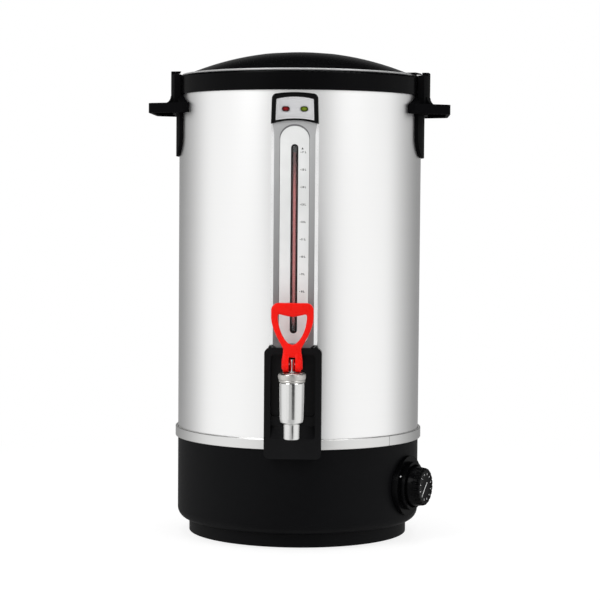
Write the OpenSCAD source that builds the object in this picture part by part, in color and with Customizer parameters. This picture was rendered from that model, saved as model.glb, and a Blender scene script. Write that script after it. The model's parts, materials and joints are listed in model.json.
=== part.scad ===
// Hot water urn: double-walled stainless drum on a moulded base, with a lift-off lid,
// a spring-loaded drip tap, a sight-glass level gauge and a heat control knob.
// Millimetres. The drum's axis is vertical, the tap faces -Y and +X is the urn's left hand
// as it stands, which is the right of a person facing the tap.

/* [Drum] */
// Outer diameter of the stainless drum
drum_d = 280; // [270:1:290]
// Height of the drum that shows between the base and the collar
drum_h = 393; // [385:1:410]
// Thickness of the drum's sheet
drum_t = 0.6; // [0.5:0.1:1]

/* [Base] */
// Height that the rubber feet stand below the foot ring
foot_h = 2; // [1:0.5:4]
// Diameter of a rubber foot
foot_d = 20; // [14:1:24]
// Height of the moulded base from the foot ring's underside to the drum
base_h = 111; // [106:1:120]
// How far the foot ring stands in from the drum's side
ring_inset = 13.5; // [12:0.5:16]
// Height of the foot ring
foot_ring_h = 15; // [12:1:18]
// Radius of the base's rounded lower edge
base_round = 12; // [8:1:12]
// Wall of the moulded base
base_t = 3; // [2.5:0.1:4]
// Thickness of the steel plate that closes the base
plate_t = 1.2; // [0.8:0.1:2]
// Height of the steel band around the joint of base and drum
band_h = 11.5; // [10:0.5:14]
// How far that band stands out from the drum
band_proud = 3; // [2:0.1:4]

/* [Tank] */
// Gap between the drum's sheet and the tank's
jacket = 8.9; // [8:0.1:10]
// Thickness of the tank's sheet
tank_t = 0.6; // [0.5:0.1:1]
// Height of the tank's floor above the base
tank_lift = 24; // [22:1:30]
// Diameter of the rolled bead around the tank's mouth
bead_d = 2.4; // [2:0.1:3]

/* [Collar and lid] */
// Height of the black collar around the mouth
collar_h = 21.4; // [19:0.1:24]
// How far the collar stands out from the drum
collar_proud = 3; // [2.5:0.1:4]
// Wall of the collar
collar_t = 2.7; // [2:0.1:3]
// How far the lid's edge stands in from the drum's side
lid_inset = 7.5; // [7:0.1:8.5]
// Height of the dome above its edge
lid_rise = 27.7; // [24:0.1:32]
// Wall of the dome
lid_t = 2.5; // [2:0.1:3]
// Thickness of the lid's seal
gasket_t = 1.2; // [1:0.1:1.6]
// Diameter of the grip recess in the top of the lid
recess_d = 95; // [85:1:105]
// Depth of the grip recess
recess_deep = 13; // [11:0.5:14]
// Width of the grip bar across the recess
grip_bar_w = 22; // [18:1:26]
// Angle that the lid turns to lock
lock_turn = 25; // [22:1:26]

/* [Handles] */
// How far a handle reaches out from the drum
handle_reach = 32; // [28:1:36]
// Width of the handle's apron on the drum
apron_w = 96; // [90:1:110]
// Height of the apron below the collar
apron_h = 70; // [60:1:80]
// Width of the grip where it joins the drum
grip_root_w = 134; // [126:1:150]
// Height of the grip
grip_h = 11; // [10:0.5:14]
// Wall of the grip's hollow shell
grip_t = 4; // [3:0.1:5]
// Distance of the grip's top below the collar's lower edge
grip_drop = 10.5; // [9:0.5:13]
// Height of the upright guard above the tank's bead
guard_rise = 2.8; // [2.8:0.1:5]

/* [Tap] */
// Distance of the tap's axis in front of the drum
tap_reach = 32; // [30:1:36]
// Height of the tap's inlet above the tank's underside
inlet_h = 28; // [26:1:34]
// Outer diameter of the tap's body
tap_d = 27.9; // [26:0.1:28.4]
// Height of the tap's body
tap_h = 45.3; // [42:0.1:48]
// Outer diameter of the bonnet
bonnet_d = 30.5; // [28.5:0.1:31]
// Height of the bonnet
bonnet_h = 10.2; // [9:0.1:12]
// Outer diameter of the spout
spout_d = 16.8; // [16:0.1:18]
// Length of the spout below the body
spout_h = 16.7; // [14:0.1:20]
// Bore of the spout
spout_bore = 11; // [9:0.1:12]
// Diameter of the stem
stem_d = 6; // [5:0.1:6.4]
// Diameter of the lever's pin
pin_d = 3; // [2.5:0.1:3.2]
// Height of the lever's pin above the bonnet
pin_h = 9.3; // [8.8:0.1:10]
// Lift of the stem with the lever fully forward
stem_lift = 4; // [3:0.1:4.4]
// Angle that the lever tips forward
lever_tip = 75; // [60:1:80]
// Width of the lever's shield-shaped head
lever_w = 46; // [44:1:50]
// Width of the lever's two feet together
lever_foot_w = 22.6; // [20:0.1:24]
// Height of the lever above its pin
lever_h = 65.8; // [62:0.1:70]
// Thickness of the lever
lever_t = 7; // [6:0.5:8]

/* [Tap housing] */
// Width of the black housing behind the tap
housing_w = 62.7; // [60:0.1:66]
// Height of the housing
housing_h = 121.4; // [118:0.1:124]
// How far the housing stands out from the drum
housing_proud = 12; // [11:0.5:12]
// How far the housing reaches below the top of the base
housing_drop = 9.2; // [8:0.1:10]

/* [Gauge] */
// Width of the gauge's frame
gauge_w = 52; // [50:1:54]
// Distance of the indicator hood's top below the collar
hood_drop = 4; // [3:0.5:8]
// How far the frame stands out from the drum
gauge_proud = 8; // [7.8:0.1:9]
// Width of the white face plate
face_w = 31.8; // [30:0.1:34]
// Outer diameter of the sight tube
tube_d = 5.8; // [5.6:0.1:6]
// Bore of the sight tube
tube_bore = 4.2; // [3.6:0.1:4.4]
// Height of the indicator hood
hood_h = 32.7; // [31:0.1:36]
// How far the hood stands out from the drum
hood_proud = 11; // [10:0.1:12]
// Distance between the two lamps
lamp_pitch = 20; // [18:0.5:22]

/* [Heat control] */
// Angle of the knob around the urn, from the tap
knob_angle = 65; // [58:1:72]
// Height of the knob's centre above the foot ring's underside
knob_z = 61; // [56:1:64]
// Diameter of the knob
knob_d = 45.5; // [42:0.5:47]
// Length of the knob along its shaft
knob_l = 19.5; // [17:0.5:21]
// Diameter of the bezel under the knob
bezel_d = 68; // [66:1:68]
// Diameter of the control's shaft
shaft_d = 6; // [5:0.1:6.4]

/* [Hidden] */
$fn = 96;

// Gaps
cut = 1;          // how far a cutting solid overshoots
seat_gap = 0.3;   // between curved pieces that lie against each other
run_gap = 0.05;   // radial gap of a running or threaded fit

// Radii of the drum's layers
drum_r = drum_d / 2;
drum_in = drum_r - drum_t;
tank_r = drum_in - jacket;
tank_in = tank_r - tank_t;
collar_r = drum_r + collar_proud;
band_r = drum_r + band_proud;
base_in = drum_r - base_t;
ring_r = drum_r - ring_inset;
ring_in = ring_r - base_t;
lid_r = drum_r - lid_inset;

// Heights
z_ring = foot_h;
z_step = z_ring + foot_ring_h;
z_base = z_ring + base_h;
band_drop = 0.5;
z_band = z_base - band_drop;
z_collar = z_base + drum_h;
z_mouth = z_collar + collar_h;
z_tank = z_base + tank_lift;
z_floor = z_tank + tank_t;
z_seal = z_mouth + tank_t;
z_lid = z_seal + gasket_t;
z_top = z_lid + lid_rise;
z_drum_top = z_mouth - collar_t;

// Base: shelf that carries the tank, lip that takes the bottom plate, and lip around the drum
shelf_t = 3;
shelf_drop = 15;
z_shelf = z_base - shelf_drop;
shelf_in = tank_r - 12.5;
spigot_h = 8;
spigot_t = 2.9;
spigot_foot = 1.5;
spigot_r = drum_in - seat_gap;
lip_t = 5;
lip_in = ring_in - 11.5;
plate_up = 6;
z_plate = z_ring + plate_up;
z_lip = z_plate + plate_t;
plate_r = ring_in - seat_gap;
screw_d = 4;
screw_head_d = 7.6;
screw_head_h = 2;
base_screw_r = lip_in + 5.5;
foot_r = lip_in - 16;
plate_slot = [foot_r * 5 / 12, foot_r * 3 / 8];
foot_stem_d = 6;
foot_barb_d = 9;
foot_barb_h = 3;
corners = [45, 135, 225, 315];

// Tap
tap_y = drum_r + tap_reach;
tap_r = tap_d / 2;
z_inlet = z_tank + inlet_h;
body_below = 19.9;
z_body = z_inlet - body_below;
z_bonnet = z_body + tap_h;
z_cap = z_bonnet + bonnet_h;
z_spout = z_body - spout_h;
z_pin = z_cap + pin_h;
spout_neck_d = 14;
spout_neck_h = 5.6;
seat_t = 3;
z_seat = z_body + spout_neck_h + seat_t;
chamber_r = 9;
cap_t = 3.4;
shank_d = 16;
shank_bore = 10;
shank_in = 12;
flange_d = 24;
flange_t = 4;
nut_af = 27;
nut_h = 7;
washer_t = 3;
washer_d = 26;
inner_washer_d = 29;
cup_r = 7.5;
cup_h = 12;
cup_floor = 3;
stem_foot_d = 10;
stem_foot_h = 2;
stem_above = 5;
stem_r = stem_d / 2;

// Lever: its cam grows with the angle so that it lifts the stem as it tips
cam_rate = stem_lift / lever_tip;
cam_clear = 0.9;
cam_base = pin_h - cam_clear;
cam_step = 7.5;
cam_w = 19;
fork_w = 7;
fork_above = 6.9;
foot_corner = 1.5;
waist_w = 19.4;
waist_z = 16;
shoulder_z = 50;
lever_round = 8;
window_tip = 20.7;
window_side = 15.5;
window_shoulder = 48;
window_corner = 53.4;
window_mid = 50.9;
curve_steps = 10;

// Tap housing
housing_y = drum_r + housing_proud;
housing_floor = drum_r + 4.2;
z_housing = z_base - housing_drop;
z_housing_top = z_housing + housing_h;
housing_round = 6;
housing_rim = 7;
z_ledge = z_inlet - 15;
pocket_h = 10;
pocket_w = 38;
slope_h = 14;
ear_w = 5;
ear_h = 2.4;
z_housing_screw = z_base - spigot_foot - screw_head_d / 2 - seat_gap;

// Gauge
gauge_y = drum_r + gauge_proud;
chamfer = 3.6;
z_gauge = z_housing_top + 2.8;
gauge_foot_w = 42;
z_gauge_top = z_collar - hood_drop - hood_h - seat_gap;
gauge_h = z_gauge_top - z_gauge;
face_t = 0.6;
face_bottom = 2;
face_round = 8;
face_top = 3;
tube_r = tube_d / 2;
tube_y = drum_r + tube_r + 1;
tube_gap = 0.8;
face_slot = [z_gauge + 13.1, z_gauge_top - 22.2];
z_tube = z_gauge + 12;
z_tube_top = z_gauge_top - 20;
stripe_top = 31;
stripe_r = 1.9;
elbow_w = 10;
elbow_h = 12;
elbow_pipe_r = 4;
elbow_bore_r = 2;
elbow_reach = 5;
gauge_nut_af = 13;
gauge_nut_h = 3.6;
z_low_elbow = z_tube - 2;
z_high_elbow = z_tube_top + 2;

// Indicator hood
hood_y = drum_r + hood_proud;
hood_rim = 4.6;
hood_floor_y = hood_y - 3;
z_hood = z_gauge_top + seat_gap;
z_hood_top = z_hood + hood_h;
panel_t = 1;
lamp_z = z_hood + 15.4;
lamp_w = 8;
lamp_hh = 5;
lamp_proud = 1.2;
board_t = 1.6;
board_w = 34;
board_h = 12;
board_y = drum_r + 2.4;
lead_x = 16;
lead_r = 1.2;
lead_bend = 30;
lead_slot = 4;

// Collar and handles
collar_round = 2.5;
collar_lip = tank_r + 0.4;
guard_in = collar_r + seat_gap;
guard_out = drum_r + 10;
apron_in = drum_r + seat_gap;
apron_out = drum_r + 3.8;
apron_round = 24;
root_out = drum_r + 7;
z_grip_top = z_collar - grip_drop;
z_grip = z_grip_top - grip_h;
z_guard_top = z_mouth + bead_d + guard_rise;
guard_step = 4.2;
guard_w = 98;
guard_mid_w = 64;
grip_round = 10;
grip_mid = 40;
grip_fillet = 9;
fillet_edge = 0.5;
handle_screw_angle = 18;
handle_screw_z = z_grip + grip_h / 2;
handle_screw_l = 6.5;
lock_lip_t = 1.2;
lock_lip_in = collar_r - 3.5;
lock_lip_x = [8, 31];
ear_t = 1.2;
ear_angle = 10;
ear_rest = asin((lock_lip_x[0] + lock_lip_x[1]) / 2 / collar_r) - lock_turn;
z_ear = z_mouth + bead_d + 0.2;

// Lid
lid_sphere = (lid_r * lid_r + lid_rise * lid_rise) / (2 * lid_rise);
z_sphere = z_top - lid_sphere;
recess_r = recess_d / 2;
z_recess = z_top - recess_deep;
vent_r = 2;
vent_y = lid_r - 36.5;
liner_r = lid_r - 7.5;
liner_t = 0.8;
liner_deep = 6;

// Heater
heater_r = tank_r - 40.5;
heater_t = 5;
element_ring = heater_r - 25;
element_r = 4;
element_z = z_tank - heater_t - 2.5;
element_gap = 25;
element_drop = 17;
terminal_r = 1.6;
terminal_l = 6;
bar_l = 2 * (heater_r - 10);
bar_w = 16;
bar_t = 2;
z_bar = element_z - element_r - seat_gap - bar_t;
cutout_y = heater_r - 55;
cutout_r = 9;
cutout_h = 8;
cutout_x = 5;
tab_w = 3;
tab_t = 0.8;
tab_h = 8;

// Heat control
z_knob = z_ring + knob_z;
bezel_t = 3.6;
bezel_collar = [24.5, 27.5];
bezel_collar_h = 5.5;
bezel_y = drum_r + bezel_t;
knob_y = bezel_y + 0.6;
knob_r = knob_d / 2;
knob_skirt = 13;
knob_face_r = knob_r - 1.5;
flute_r = 1.6;
flute_count = 24;
bushing_r = 5;
bushing_flange = 8;
thermostat_w = 34;
thermostat_h = 30;
thermostat_y = [drum_r - 40, drum_r - 12];
bulb_r = 3;
bulb_l = 60;
bulb_y = heater_r + 14;
capillary_r = 1;

// Power inlet
inlet_z = z_ring + base_h / 2;
pad_w = 58;
pad_h = 30;
pad_y = drum_r + 1.5;
inlet_t = 2.5;
inlet_y = pad_y + inlet_t;
inlet_w = 28;
inlet_hh = 21;
inlet_deep = 23;
socket_w = 24.4;
socket_h = 16.4;
socket_deep = 17;
pin_pitch = 14;
pin_drop = 4;
blade_w = 2;
blade_h = 4;
inlet_screw_x = 20;
block = [40, 18, 16];
block_y = lip_in - 41;
wire_r = 1.5;

// The model's origin is under the middle of its outline
front_reach = tap_y + bonnet_d / 2;
axis_y = (front_reach - inlet_y) / 2;

// ---- helpers ----

function unit(v) = v / norm(v);
function tangent(p, i) = unit(p[min(i + 1, len(p) - 1)] - p[max(i - 1, 0)]);
function square_to(v, t) = unit(v - (v * t) * t);
function side_of(p, i) =
    i == 0 ? square_to(unit([0.31, 0.52, 0.8]), tangent(p, 0))
           : square_to(side_of(p, i - 1), tangent(p, i));
function bezier(a, b, c, d) = [
    for (i = [0:curve_steps])
        let (t = i / curve_steps, s = 1 - t)
            s * s * s * a + 3 * s * s * t * b + 3 * s * t * t * c + t * t * t * d
];
function arc(c, r, from, to) = [
    for (i = [0:curve_steps])
        let (a = from + (to - from) * i / curve_steps) [c[0] + r * cos(a), c[1] + r * sin(a)]
];
function mirrored(p) = concat(p, [for (i = [len(p) - 1:-1:0]) [-p[i][0], p[i][1]]]);
function drum_y_at(x, r) = sqrt(r * r - x * x);

module around(angle) rotate([0, 0, angle]) children();

module tube(r_in, r_out, z0, z1) difference() {
    translate([0, 0, z0]) cylinder(r = r_out, h = z1 - z0);
    translate([0, 0, z0 - cut]) cylinder(r = r_in, h = z1 - z0 + 2 * cut);
}

module disc(r, z0, z1) translate([0, 0, z0]) cylinder(r = r, h = z1 - z0);

// A plate that stands in front of the axis, from y0 to y1, with its outline in X and Z
module front_plate(y0, y1) translate([0, -y0, 0]) rotate([90, 0, 0]) linear_extrude(y1 - y0) children();

// A round bar that runs outwards from y0 to y1
module radial(r, y0, y1, x = 0, z = 0) translate([x, -y0, z]) rotate([90, 0, 0]) cylinder(r = r, h = y1 - y0);

module hex_radial(af, y0, y1, z) translate([0, -y0, z]) rotate([90, 0, 0])
    cylinder(r = af / 2 / cos(30), h = y1 - y0, $fn = 6);

module rounded(half_w, z0, z1, r) {
    translate([-half_w + r, z0]) square([2 * (half_w - r), z1 - z0]);
    translate([-half_w, z0 + r]) square([2 * half_w, z1 - z0 - 2 * r]);
    for (x = [-1, 1], z = [z0 + r, z1 - r]) translate([x * (half_w - r), z]) circle(r);
}

// A round bar along a list of points
module sweep(p, r, sides = 8) {
    n = len(p);
    polyhedron(
        points = [
            for (i = [0:n - 1])
                let (t = tangent(p, i), s = side_of(p, i), b = cross(t, s))
                    for (k = [0:sides - 1])
                        let (a = 360 * k / sides) p[i] + r * (cos(a) * s + sin(a) * b)
        ],
        faces = concat(
            [[for (k = [0:sides - 1]) k]],
            [for (i = [0:n - 2], k = [0:sides - 1]) let (m = (k + 1) % sides)
                [i * sides + k, (i + 1) * sides + k, (i + 1) * sides + m, i * sides + m]],
            [[for (k = [sides - 1:-1:0]) (n - 1) * sides + k]]
        )
    );
}

module screw(head_r, head_h, shank_r, length) {
    translate([0, 0, -head_h]) cylinder(r = head_r, h = head_h);
    cylinder(r = shank_r, h = length);
}

module placed() translate([0, axis_y, 0]) children();

// ---- base ----

module base_outline(r, ring, z0, step, z1, round_r) {
    translate([0, step + round_r]) square([r, z1 - step - round_r]);
    translate([0, step]) square([r - round_r, round_r]);
    translate([r - round_r, step + round_r]) circle(round_r);
    translate([0, z0]) square([ring, step - z0 + cut]);
}

module base_shell() color([0.05, 0.05, 0.055]) difference() {
    union() {
        rotate_extrude() {
            difference() {
                intersection() {
                    base_outline(drum_r, ring_r, z_ring, z_step, z_base, base_round);
                    square([drum_r + cut, z_base + cut]);
                }
                intersection() {
                    base_outline(base_in, ring_in, z_ring - cut, z_step + base_t, z_base + cut,
                                 base_round - base_t);
                    square([drum_r, z_base + 2 * cut]);
                }
            }
            translate([shelf_in, z_shelf]) square([base_in - shelf_in + cut, shelf_t]);
            translate([spigot_r - spigot_t, z_base - spigot_foot])
                square([spigot_t, spigot_foot + spigot_h]);
            translate([spigot_r - spigot_t, z_base - spigot_foot])
                square([drum_r - spigot_r, spigot_foot]);
            translate([lip_in, z_lip]) square([ring_in - lip_in + cut, lip_t]);
        }
        rear_pad();
    }
    around(knob_angle) radial(bushing_r + run_gap, base_in - 4 * cut, drum_r + cut, z = z_knob);
    around(180) front_plate(base_in - 6 * cut, pad_y + cut)
        translate([-inlet_w / 2, inlet_z - inlet_hh / 2]) square([inlet_w, inlet_hh]);
    around(180) for (x = [-1, 1])
        radial(screw_d / 2 + run_gap, base_in - 8 * cut, pad_y + cut, x * inlet_screw_x, inlet_z);
    radial(screw_d / 2 + 0.2, base_in - cut, drum_r + cut, z = z_housing_screw);
    for (a = corners) around(a) translate([0, base_screw_r, z_lip - cut])
        cylinder(r = screw_d / 2 + run_gap, h = lip_t + 2 * cut);
    translate([lead_x, -(tank_r + 0.5), z_shelf - cut]) cylinder(r = 3, h = shelf_t + 2 * cut);
}

module rear_pad() around(180) difference() {
    front_plate(base_in - 3 * cut, pad_y)
        rounded(pad_w / 2, inlet_z - pad_h / 2, inlet_z + pad_h / 2, 4);
    disc(base_in - 2 * cut, inlet_z - pad_h, inlet_z + pad_h);
}

module base_plate() color([0.62, 0.63, 0.65]) difference() {
    disc(plate_r, z_plate, z_lip);
    for (a = corners) {
        around(a) translate([0, base_screw_r, z_plate - cut])
            cylinder(r = screw_d / 2 + 0.2, h = plate_t + 2 * cut);
        around(a + 45) translate([0, foot_r, z_plate - cut])
            cylinder(r = foot_stem_d / 2 + run_gap, h = plate_t + 2 * cut);
    }
    for (a = [0:30:330]) around(a) translate([-2, plate_slot[0], z_plate - cut])
        cube([4, plate_slot[1], plate_t + 2 * cut]);
}

module base_screws() color([0.7, 0.7, 0.72])
    for (a = corners) around(a) translate([0, base_screw_r, z_plate])
        screw(screw_head_d / 2, screw_head_h, screw_d / 2, plate_t + lip_t + 1);

module feet() color([0.08, 0.08, 0.08]) for (a = corners) around(a + 45) translate([0, foot_r, 0]) {
    cylinder(r = foot_d / 2, h = z_plate);
    cylinder(r = foot_stem_d / 2, h = z_lip + foot_barb_h);
    translate([0, 0, z_lip]) cylinder(r = foot_barb_d / 2, h = foot_barb_h);
}

module lower_band() color([0.75, 0.76, 0.77]) difference() {
    rotate_extrude() translate([(drum_r + seat_gap + band_r) / 2, 0])
        rounded((band_r - drum_r - seat_gap) / 2, z_band, z_band + band_h, 1);
    around(48) translate([-0.3, -band_r - cut, z_band - cut])
        cube([0.6, cut + 0.8, band_h + 2 * cut]);
}

// ---- drum and tank ----

module wall_holes(tap_hole, pipe_hole, r0, r1) {
    radial(tap_hole, r0, r1, z = z_inlet);
    for (z = [z_low_elbow, z_high_elbow]) radial(pipe_hole, r0, r1, z = z);
}

module drum_shell() color([0.78, 0.79, 0.8]) difference() {
    tube(drum_in, drum_r, z_base, z_drum_top);
    wall_holes(shank_d / 2 + seat_gap, elbow_pipe_r + seat_gap, drum_in - 5, drum_r + cut);
    radial(lead_r + 0.6, drum_in - 5, drum_r + cut, lead_x, lamp_z);
    for (side = [-90, 90]) around(side) handle_screw_axes()
        radial(screw_d / 2 + 0.2, drum_in - cut, drum_r + cut, z = handle_screw_z);
}

module inner_tank() color([0.7, 0.71, 0.73]) difference() {
    union() {
        tube(tank_in, tank_r, z_tank, z_seal);
        disc(tank_r, z_tank, z_floor);
        tube(tank_in, tank_r + 5, z_mouth, z_seal);
        rotate_extrude() translate([tank_r + 5.8, z_mouth + bead_d / 2]) circle(bead_d / 2);
    }
    wall_holes(shank_d / 2 + run_gap, elbow_pipe_r + run_gap, tank_in - 5, tank_r + cut);
}

module insulation() color([0.85, 0.82, 0.62]) difference() {
    tube(tank_r + 0.4, drum_in - 0.4, z_base + spigot_h + 1, z_collar - 6);
    wall_holes(washer_d / 2 + 0.5, elbow_pipe_r + 1, tank_r - 6, drum_r);
    front_plate(drum_in - 6, drum_r) translate([lead_x - lead_slot / 2, z_base]) square([lead_slot, drum_h]);
    front_plate(tank_r - 3, drum_r) translate([lead_x - lead_slot / 2, z_base]) square([lead_slot, lead_bend]);
    for (side = [-90, 90]) around(side) handle_screw_axes()
        radial(screw_head_d / 2 + 1, drum_in - 5, drum_r, z = handle_screw_z);
}

module collar_ring() color([0.03, 0.03, 0.035]) rotate_extrude() {
    translate([drum_r + seat_gap, z_collar])
        square([collar_r - drum_r - seat_gap, collar_h - collar_round]);
    translate([collar_lip, z_drum_top]) square([collar_r - collar_round - collar_lip, collar_t]);
    translate([collar_lip, z_collar]) square([collar_t, collar_h - collar_t + 0.5]);
    intersection() {
        translate([collar_r - collar_round, z_mouth - collar_round]) circle(collar_round);
        translate([drum_r + seat_gap, z_drum_top]) square([collar_r, collar_t]);
    }
}

module tank_support() color([0.66, 0.67, 0.69]) {
    leg_r = tank_r - 3;
    leg_t = 1.5;
    z_foot = z_shelf + shelf_t;
    difference() {
        union() {
            tube(leg_r - leg_t, leg_r, z_foot, z_tank);
            tube(shelf_in + 1, leg_r, z_foot, z_foot + leg_t);
            tube(shelf_in + 1, leg_r, z_tank - leg_t, z_tank);
        }
        for (a = [30:60:330]) around(a)
            front_plate(leg_r - 12, leg_r + cut) rounded(22, z_foot + 8, z_tank - 8, 4);
    }
}

// ---- lid ----

module lid_body(r) intersection() {
    translate([0, 0, z_sphere]) sphere(r = r, $fn = 180);
    disc(lid_r + cut, z_lid, z_top + cut);
}

module lid_ear() intersection() {
    around(ear_rest) difference() {
        translate([-drum_r * sin(ear_angle) / 2, -collar_r, z_ear])
            cube([drum_r * sin(ear_angle), collar_r - lid_r + 8, ear_t]);
        disc(lid_r - 5, z_ear - cut, z_ear + ear_t + cut);
    }
    disc(collar_r - 0.4, z_ear - cut, z_ear + ear_t + cut);
}

module lid_dome() color([0.03, 0.03, 0.035]) difference() {
    union() {
        difference() {
            lid_body(lid_sphere);
            difference() {
                translate([0, 0, z_sphere]) sphere(r = lid_sphere - lid_t, $fn = 180);
                disc(recess_r + lid_t, z_recess - lid_t, z_top);
            }
            difference() {
                disc(recess_r, z_recess, z_top + cut);
                translate([-recess_r - cut, -grip_bar_w / 2, z_recess - cut])
                    cube([2 * (recess_r + cut), grip_bar_w, recess_deep + 2 * cut]);
            }
        }
        for (side = [-90, 90]) around(side) lid_ear();
    }
    translate([0, vent_y, z_lid]) cylinder(r = vent_r, h = lid_rise);
}

module lid_liner() color([0.72, 0.73, 0.75]) difference() {
    union() {
        disc(liner_r, z_lid - liner_deep, z_lid - liner_deep + liner_t);
        tube(liner_r - liner_t, liner_r, z_lid - liner_deep, z_lid + seat_gap);
    }
    translate([0, vent_y, z_lid - liner_deep - cut]) cylinder(r = vent_r, h = 3 * cut);
}

module lid_gasket() color([0.85, 0.85, 0.83]) tube(tank_in + 0.7, lid_r + 0.5, z_seal, z_lid);

// ---- handles ----

module handle_screw_axes() for (a = [-1, 1]) around(a * handle_screw_angle) children();

module apron_outline() {
    translate([-apron_w / 2, z_collar - apron_h + apron_round])
        square([apron_w, apron_h - apron_round - cut]);
    translate([-apron_w / 2 + apron_round, z_collar - apron_h])
        square([apron_w - 2 * apron_round, apron_round + cut]);
    for (x = [-1, 1]) translate([x * (apron_w / 2 - apron_round), z_collar - apron_h + apron_round])
        circle(apron_round);
}

// The grip's root narrows upwards to the guard
module root_outline() {
    half = guard_w / 2 - 2;
    polygon([
        [-grip_root_w / 2, z_grip_top - 7], [grip_root_w / 2, z_grip_top - 7],
        [grip_root_w / 2, z_grip_top - 2], [half, z_grip_top + 8.6], [half, z_collar],
        [-half, z_collar], [-half, z_grip_top + 8.6], [-grip_root_w / 2, z_grip_top - 2]
    ]);
}

module guard_outline() {
    rounded(guard_w / 2, z_grip_top - 8, z_guard_top - guard_step, 2);
    rounded(guard_mid_w / 2, z_grip_top, z_guard_top, 2);
}

module grip_plan(r) {
    front = drum_r + handle_reach - grip_round;
    root = grip_root_w / 2 - grip_round;
    for (x = [-1, 1]) {
        translate([x * grip_mid, -front]) circle(r);
        translate([x * root, -drum_y_at(root, drum_r)]) circle(r);
    }
    run = root - grip_mid;
    rise = front - drum_y_at(root, drum_r);
    reach = (r - 0.05) / norm([run, rise]);   // a hair inside the circles, so that no edge is tangent
    nx = rise * reach;
    ny = run * reach;
    polygon([
        [-grip_mid, -front - r], [grip_mid, -front - r], [grip_mid + nx, -front - ny],
        [root + nx, -drum_y_at(root, drum_r) - ny], [root, 0], [-root, 0],
        [-root - nx, -drum_y_at(root, drum_r) - ny], [-grip_mid - nx, -front - ny]
    ]);
}

module handle() difference() {
    union() {
        intersection() {
            tube(apron_in, apron_out, z_collar - apron_h - cut, z_collar - cut);
            front_plate(0, collar_r + 10) apron_outline();
        }
        intersection() {
            tube(apron_in, root_out, z_grip_top - 6, z_collar - 0.5);
            front_plate(0, collar_r + 10) root_outline();
        }
        intersection() {
            tube(guard_in, guard_out, z_grip_top - 8, z_guard_top);
            front_plate(0, guard_out + cut) guard_outline();
        }
        difference() {
            translate([0, 0, z_grip]) linear_extrude(grip_h) grip_plan(grip_round);
            disc(apron_in, z_grip - cut, z_grip_top + cut);
            difference() {
                translate([0, 0, z_grip - cut]) linear_extrude(grip_h - grip_t + cut)
                    grip_plan(grip_round - grip_t);
                disc(root_out + 1, z_grip - 2 * cut, z_grip_top);
            }
        }
        intersection() {
            rotate_extrude() difference() {
                translate([guard_out - cut, z_grip_top - cut])
                    square([grip_fillet + cut, grip_fillet + cut]);
                translate([guard_out + grip_fillet + fillet_edge, z_grip_top + grip_fillet + fillet_edge])
                    circle(grip_fillet);
            }
            front_plate(0, guard_out + 2 * grip_fillet)
                rounded(guard_mid_w / 2 + 8, z_grip_top - cut, z_grip_top + grip_fillet, 0.5);
        }
        intersection() {
            tube(lock_lip_in, guard_in + cut, z_guard_top - lock_lip_t, z_guard_top);
            front_plate(0, guard_out) translate([lock_lip_x[0], z_mouth])
                square([lock_lip_x[1] - lock_lip_x[0], z_guard_top - z_mouth]);
        }
    }
    handle_screw_axes() radial(screw_d / 2 + run_gap, drum_r, drum_in + handle_screw_l, z = handle_screw_z);
}

module handle_left() color([0.03, 0.03, 0.035]) around(-90) handle();

module handle_right() color([0.03, 0.03, 0.035]) around(90) handle();

module handle_screws() color([0.7, 0.7, 0.72])
    for (side = [-90, 90]) around(side) handle_screw_axes()
        translate([0, -drum_in + 0.1, handle_screw_z]) rotate([90, 0, 0])
            screw(screw_head_d / 2, screw_head_h, screw_d / 2, handle_screw_l - 0.5);

// ---- tap ----

module housing_outline() {
    rounded(housing_w / 2, z_housing, z_housing_top, housing_round);
    tip = housing_w / 2 - housing_round + 1;
    polygon([
        [-tip - housing_round / 2, z_housing_top - housing_round],
        [tip + housing_round / 2, z_housing_top - housing_round], [tip, z_housing_top + ear_h],
        [tip - ear_w, z_housing_top - cut], [ear_w - tip, z_housing_top - cut],
        [-tip, z_housing_top + ear_h]
    ]);
}

module tap_housing() color([0.04, 0.04, 0.045]) difference() {
    front_plate(drum_r - 8, housing_y) housing_outline();
    disc(drum_r + seat_gap, z_housing - cut, z_housing_top + ear_h + cut);
    disc(band_r + seat_gap, z_band - seat_gap, z_band + band_h + seat_gap);
    front_plate(housing_floor, housing_y + cut)
        rounded(housing_w / 2 - housing_rim, z_ledge, z_housing_top - housing_rim, 4);
    front_plate(housing_floor + 2, housing_y + cut)
        translate([-pocket_w / 2, z_ledge - pocket_h]) square([pocket_w, pocket_h + cut]);
    translate([-housing_w / 2 + housing_rim, 0, 0]) rotate([90, 0, 90])
        linear_extrude(housing_w - 2 * housing_rim) polygon([
            [-housing_y - cut, z_ledge - pocket_h - slope_h], [-housing_y, z_ledge - pocket_h - slope_h],
            [-housing_floor - 2, z_ledge - pocket_h], [-housing_floor - 2, z_ledge],
            [-housing_y - cut, z_ledge + cut]
        ]);
    radial(shank_d / 2 + seat_gap, drum_r - 9, housing_y, z = z_inlet);
    radial(screw_d / 2 + run_gap, drum_r - 9, drum_r + 8, z = z_housing_screw);
}

module housing_screw() color([0.7, 0.7, 0.72])
    translate([0, -base_in + 0.1, z_housing_screw]) rotate([90, 0, 0])
        screw(screw_head_d / 2, screw_head_h, screw_d / 2, base_t + 7);

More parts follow.
